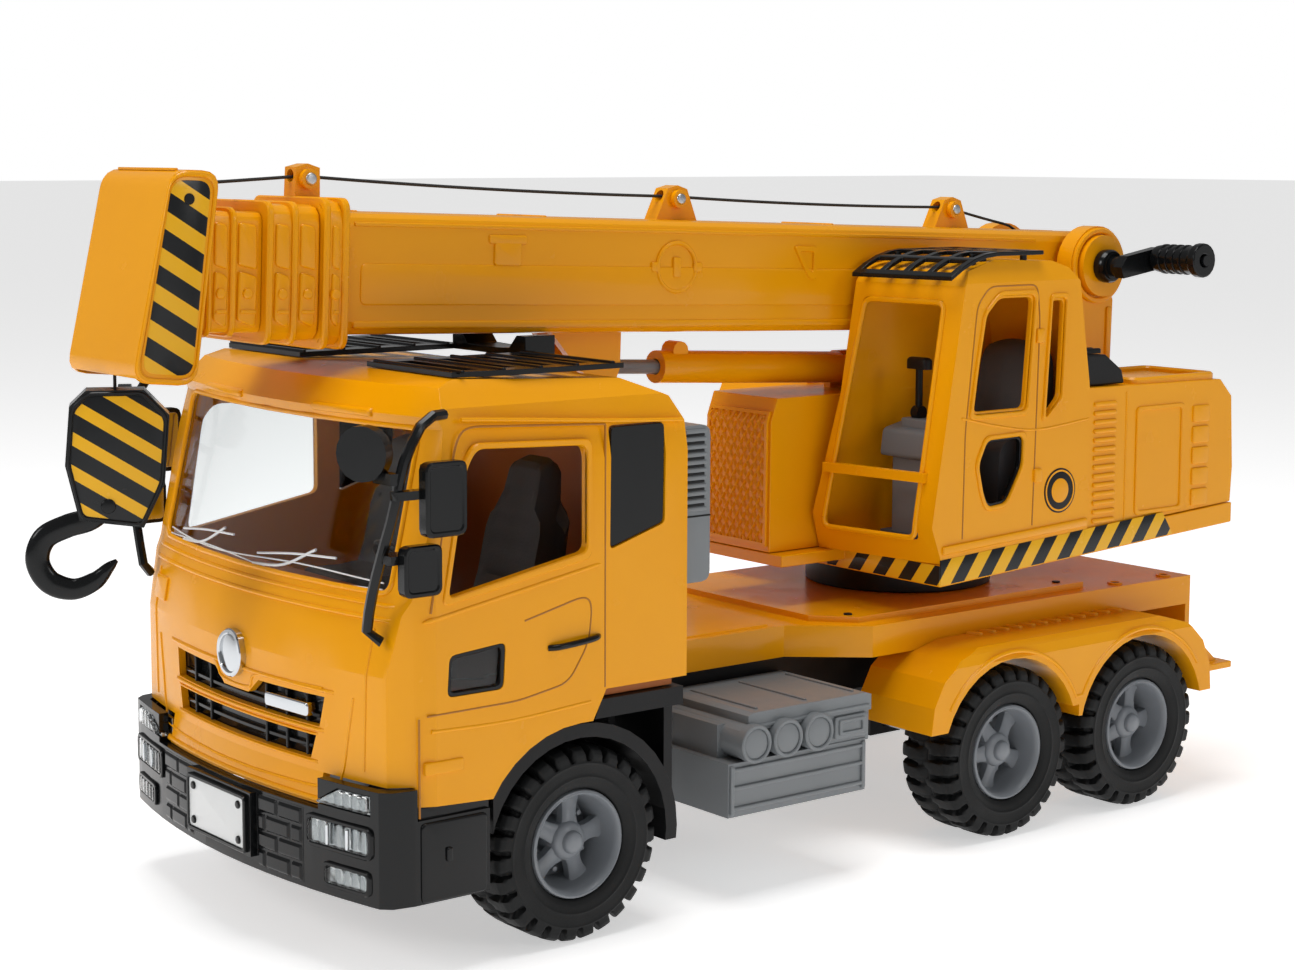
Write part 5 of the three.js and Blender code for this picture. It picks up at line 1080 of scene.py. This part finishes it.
def onBoom(part):
    # boom drawing: front towards -Y from the pivot, then tipped up by its rest angle
    points, faces = part
    y, z = points[:, 1].copy(), points[:, 2].copy()
    out = points.copy()
    out[:, 1] = boom["pivotY"] + y * math.cos(boom["tilt"]) + z * math.sin(boom["tilt"])
    out[:, 2] = boom["pivotZ"] - y * math.sin(boom["tilt"]) + z * math.cos(boom["tilt"])
    return out, faces


def bothSides(part):
    # the part and its mirror image
    return together(part, mirrored(part))


face = boom["half"]
sidePanel = pad(rectangle(-385, -18.6, -92, -3.4, 2.5), "x", face - 1, face + 0.55, 0.5)
lowRail = pad(rectangle(-388, -27.2, -60, -24.4, 1.2), "x", face - 1, face + 0.7, 0.6)
topRail = pad(rectangle(-388, 10.0, -30, 11.6, 0.7), "x", face - 1, face + 0.55, 0.4)
hangTab = [pad(rectangle(-326.5, -3.6, -314, 5.2, 1.2), "x", face - 1, face + 0.9, 0.5),
    pad(rectangle(-329, 4.6, -311.5, 8.0, 1.0), "x", face - 1, face + 0.9, 0.5)]
portHole = [ring(disc(-238, -3.4, 10.6, 48), disc(-238, -3.4, 8.9, 48), "x", face - 1, face + 1.1, 0.5),
    pad(rectangle(-240, -7.5, -236, 0.6, 1), "x", face - 1, face + 1.1, 0.5),
            pad(rectangle(-229.5, -5.4, -225, -1.4, 1), "x", face - 1, face + 1.0, 0.5),
                pad(rectangle(-251, -5.4, -246.5, -1.4, 1), "x", face - 1, face + 1.0, 0.5)]
bracketHook = ring(softCorners([[-176, 6], [-163, 6], [-163, -8], [-167, -8]], 2, 6),
    softCorners([[-172.5, 3.8], [-165, 3.8], [-165, -4.4], [-166.8, -4.4]], 1.2, 6), "x", face - 1, face + 1.1,
    0.4)
rearPad = pad(softCorners([[-88, -3.4], [-60, -3.4], [-56, -12], [-60, -18.6], [-88, -18.6]], 2), "x", face - 1,
    face + 0.5, 0.4)
topTread = [pad(rectangle(-16, y, 16, y + 2.2, 0.8), "z", boom["top"] - 0.6, boom["top"] + 0.55, 0.5)
    for y in (-385, -300, -150)]
placed("boom_relief", onBoom(together(bothSides(together(sidePanel, lowRail, topRail, *hangTab, *portHole,
    bracketHook, rearPad)), *topTread)), "cabYellow", "boom")
eyeBolts = [pad(disc(y, z - 1, 2.3, 24), "x", 3, 7.2, 0.7) for y, z in eyePlaces]
placed("eye_bolts", onBoom(bothSides(together(*eyeBolts))), "pinSteel", "boom")


def boxOutline(out, radius=5.0):
    # the boom's cross section, grown by out all round
    half = boom["half"] + out
    return softCorners([[-half, boom["bottom"] - out], [half, boom["bottom"] - out], [half, boom["top"] + out],
        [-half, boom["top"] + out]], radius, 7)


def hoop(out, y0, y1, inside):
    # a band round the boom with rounded edges
    grid = np.stack([stood(boxOutline(inside), "y", y0), stood(boxOutline(out - 0.5), "y", y0),
        stood(boxOutline(out), "y", y0 + 0.6), stood(boxOutline(out), "y", y1 - 0.6),
                     stood(boxOutline(out - 0.5), "y", y1), stood(boxOutline(inside), "y", y1)])
    return wrapped(grid)


def slantPads(y0, y1, face, lift=1.3):
    # upper and lower raised pads on a collar's side, slanting back towards the foot
    lower = pad(softCorners([[y0 + 0.5, -24], [y1 - 1.2, -26.5], [y1 - 0.6, -8.5], [y0 + 0.8, -6.5]], 1.6), "x",
        face - 1, face + lift, 0.9)
    upper = pad(softCorners([[y0 + 0.8, -4.6], [y1 - 0.6, -6.2], [y1 - 1.2, 9.5], [y0 + 0.8, 10.5]], 1.4), "x",
        face - 1, face + lift * 0.7, 0.7)
    middle = (y0 + y1) / 2
    boss = pad(disc(middle - 0.4, -14.5, 1.9, 24), "x", face - 1, face + lift + 1.1, 0.6)
    cross = pad(rectangle(y0 + 1.2, -21.6, y1 - 1.4, -20.2, 0.5), "x", face - 1, face + lift + 0.7, 0.4)
    return bothSides(together(lower, upper, boss, cross))


placed("main_collar_ribs", onBoom(together(hoop(4.9, -403.0, -400.4, 3.0), hoop(4.9, -395.2, -392.4, 3.0),
    slantPads(-400.2, -395.4, 26, 1.0))), "cabYellow", "boom")
placed("middle_collar_ribs", onBoom(together(hoop(3.1, -425.0, -422.4, 1.0), hoop(3.1, -414.8, -412.4, 1.0),
    slantPads(-422.2, -415.0, 24, 1.4), slantPads(-412.2, -404.4, 24, 1.2))), "cabYellow", "boom_middle")
placed("tip_collar_ribs", onBoom(together(hoop(0.5, -437.8, -435.6, -2.0), hoop(0.5, -447.0, -445.0, -2.0),
    slantPads(-435.4, -426.4, 21, 1.4), slantPads(-444.8, -438.0, 21, 1.2))), "cabYellow", "boom_tip")

# head box: raised rim and printed stripes on each side
headCorners = np.array([[-477, -45], [-452.5, -46.5], [-444.5, 28], [-463.5, 28]], float)


def headInset(by, radius):
    # the head's side outline, drawn in and rounded
    return softCorners(grown(headCorners, -by), radius, 8)


rim = ring(headInset(0.4, 7), headInset(2.1, 6), "x", 25.2, 26.75, 0.4)
dark = pad(headInset(2.5, 6), "x", 25.4, 26.2, 0.1)
striped = pad(headInset(3.6, 5.2), "x", 25.6, 26.32, 0.1)
placed("head_rims", onBoom(bothSides(rim)), "cabYellow", "boom_tip")
placed("head_print_edge", onBoom(bothSides(dark)), "cabYellow", "boom_tip")
placed("head_stripes", onBoom(bothSides(striped)), "headStripes", "boom_tip")
headRidge = [pad(rectangle(-22, -452 - 8, 22, -452 - 6.6, 0.5), "z", 27.6, 28.5, 0.3)]
placed("head_top_ridge", onBoom(together(*headRidge)), "cabYellow", "boom_tip")
print("boom dressed")

# winch tower and crank
bossRing = [ring(disc(boom["pivotY"], boom["pivotZ"], 17.2, 56), disc(boom["pivotY"], boom["pivotZ"], 14.6, 56),
    "x", 32.4, 34.6, 0.6)]
towerRib = [pad(softCorners([[218, 186], [221, 186], [226, 214], [223, 214]], 1), "x", 32.4, 34.0, 0.6),
    pad(softCorners([[246, 186], [249, 186], [249.5, 214], [246.5, 214]], 1), "x", 32.4, 34.0, 0.6)]
towerBoss = turned([[0.3, 33.0], [13.6, 33.0], [13.6, 35.6], [12.6, 36.8], [8.0, 37.0], [7.4, 35.6],
    [0.3, 35.4]], 40, boom["pivotY"], boom["pivotZ"], False, 0, -1)
placed("tower_relief", together(bothSides(together(*bossRing, *towerRib)), towerBoss), "cabYellow", "turret")
placed("crank_collar", turned([[4.2, 37.2], [7.4, 37.2], [7.6, 38.4], [7.6, 41.2], [6.8, 42.4], [4.2, 42.6]],
    32, boom["pivotY"], boom["pivotZ"], True), "glossBlack", "winch")
gripRings = [turned([[6.0, x], [6.75, x + 0.4], [6.75, x + 1.4], [6.0, x + 1.8]], 32, 258, 236.5, False)
    for x in np.arange(57.0, 73.0, 4.0)]
placed("grip_rings", together(*gripRings), "glossBlack", "grip")

# hook block and hook
hookPlace = {"y": -232.0, "top": 201.4, "turn": math.radians(-26)}
blockCorners = [[-10, 0], [10, 0], [18.5, -9], [16.5, -33], [9, -48.5], [-13, -45.5], [-17.5, -26],
    [-15.7, -5.5]]


def onBlock(part):
    # hook drawing: turned about the upright through the block's cord
    points, faces = part
    x, y = points[:, 0], points[:, 1]
    c, s = math.cos(hookPlace["turn"]), math.sin(hookPlace["turn"])
    return np.stack([x * c - y * s, x * s + y * c + hookPlace["y"], points[:, 2] + hookPlace["top"]], -1), faces


stickers = pad(softCorners(grown(blockCorners, -2.0), 2.0), "x", 6.2, 6.82, 0.1)
placed("block_stripes", onBlock(bothSides(stickers)), "blockStripes", "block")
blockRim = ring(softCorners(grown(blockCorners, -0.5), 2.2), softCorners(grown(blockCorners, -1.7), 2.0), "x",
    6.0, 7.25, 0.3)
placed("block_rims", onBlock(bothSides(together(blockRim, pad(disc(-3, -40.5, 2.6, 28), "x", 6.0, 7.5, 0.6)))),
    "glossBlack", "block")

hookLine = smoothPath([[0, -3.0, -40.5], [0, -9.5, -45.8], [0, -17.5, -48.2], [0, -25.2, -52.2],
    [0, -27.8, -60.0], [0, -24.0, -67.6], [0, -16.0, -70.6], [0, -8.4, -68.0], [0, -3.5, -63.4],
    [0, -0.6, -60.8]], 90)
run = np.linspace(0, 1, 90)
hookThick = np.interp(run, [0, 0.06, 0.2, 0.45, 0.6, 0.78, 0.93, 1.0], [4.0, 4.2, 4.2, 4.2, 4.2, 3.3, 1.6, 0.7])


def hookBody():
    # an oval carried along the hook's bend, thickest round the bowl and drawn out to its point
    forward = np.gradient(hookLine, axis=0)
    forward /= np.linalg.norm(forward, axis=1, keepdims=True)
    side = np.array([1.0, 0.0, 0.0])[None, :]
    lift = np.cross(np.broadcast_to(side, forward.shape), forward)
    angle = np.linspace(0, 2 * np.pi, 20, endpoint=False)[None, :, None]
    flatHalf = np.minimum(hookThick * 0.9, 2.2)[:, None, None]
    return loft(hookLine[:, None] + flatHalf * np.cos(angle) * side[:, None] + hookThick[:, None,
        None] * np.sin(angle) * lift[:, None])


hookPin = turned([[0.2, -7.1], [1.6, -7.1], [1.6, 7.1], [0.2, 7.1]], 20, 0, 0)
hookPin = (hookPin[0] + [0.0, -3.0, -40.5], hookPin[1])
placed("hook_forging", onBlock(together(hookBody(), hookPin)), "glossBlack", "hook", ("hook",))
print("hook hung")

# lifting cord: drum to head along the boom, then down to the block
cord = {"radius": 0.62, "fallTop": 219.5, "fallFoot": 191.6}
drum = {"turns": 9, "radius": 7.7, "half": 8.5, "cord": 0.7}
cordTie = [0, -424.0, 25.0]  # where the cord passes from the middle section to the tip
overBoom = np.array([[0, -8, 9], [0, -24.6, 17.1]] + [[0, y, z] for y, z in eyePlaces], float)


def cordRun(corners, steps, sag=0.0):
    # even points along the corners, each leg sagging by sag times 4 p (1 - p) for p along the leg
    points = np.asarray(corners, float)
    reach = np.concatenate([[0], np.cumsum(np.linalg.norm(np.diff(points, axis=0), axis=1))])
    along = np.linspace(0, reach[-1], steps)
    line = np.stack([np.interp(along, reach, points[:, k]) for k in range(3)], -1)
    leg = np.clip(np.searchsorted(reach, along, side="right") - 1, 0, len(points) - 2)
    part = (along - reach[leg]) / (reach[leg + 1] - reach[leg])
    line[:, 2] -= sag * 4 * part * (1 - part) * (reach[leg + 1] - reach[leg]) / 160
    return line


placed("lift_cord_boom", onBoom(tube(cordRun(overBoom, 90, 1.0), cord["radius"], 8)), "liftCord", "boom",
    ("winch_cord",))
frontSpan = cordRun([[0, *eyePlaces[-1]], cordTie], 30)
tipSpan = cordRun([cordTie, [0, -447.5, 22.8]], 30)
for name, span, bodies in (("lift_cord_middle", frontSpan, ("boom", "boom_middle")),
    ("lift_cord_tip", tipSpan, ("boom_middle", "boom_tip"))):
    piece = placed(name, onBoom(tube(span, cord["radius"], 8)), "liftCord", None, ("winch_cord",))
    ends = toFrame(onBoom((span[[0, -1]], []))[0])
    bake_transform(piece, *bodies, start=tuple(ends[0]), end=tuple(ends[1]))
fall = np.stack([np.zeros(40), np.full(40, hookPlace["y"]), np.linspace(cord["fallTop"], cord["fallFoot"], 40)],
    -1)
piece = placed("lift_cord_fall", tube(fall, cord["radius"], 8, (0, 1, 0)), "liftCord", None, ("hook_cord",))
ends = toFrame(fall[[0, -1]])
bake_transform(piece, "boom_tip", "block", start=tuple(ends[0]), end=tuple(ends[1]))
wind = np.linspace(0, drum["turns"] * 2 * np.pi, drum["turns"] * 28)
coil = np.stack([np.linspace(-drum["half"], drum["half"], len(wind)),
    boom["pivotY"] + drum["radius"] * np.cos(wind), boom["pivotZ"] + drum["radius"] * np.sin(wind)], -1)
placed("drum_winding", tube(coil, drum["cord"], 8, (1.0, 0.0, 0.0)), "liftCord", "winch")
print("cord run")
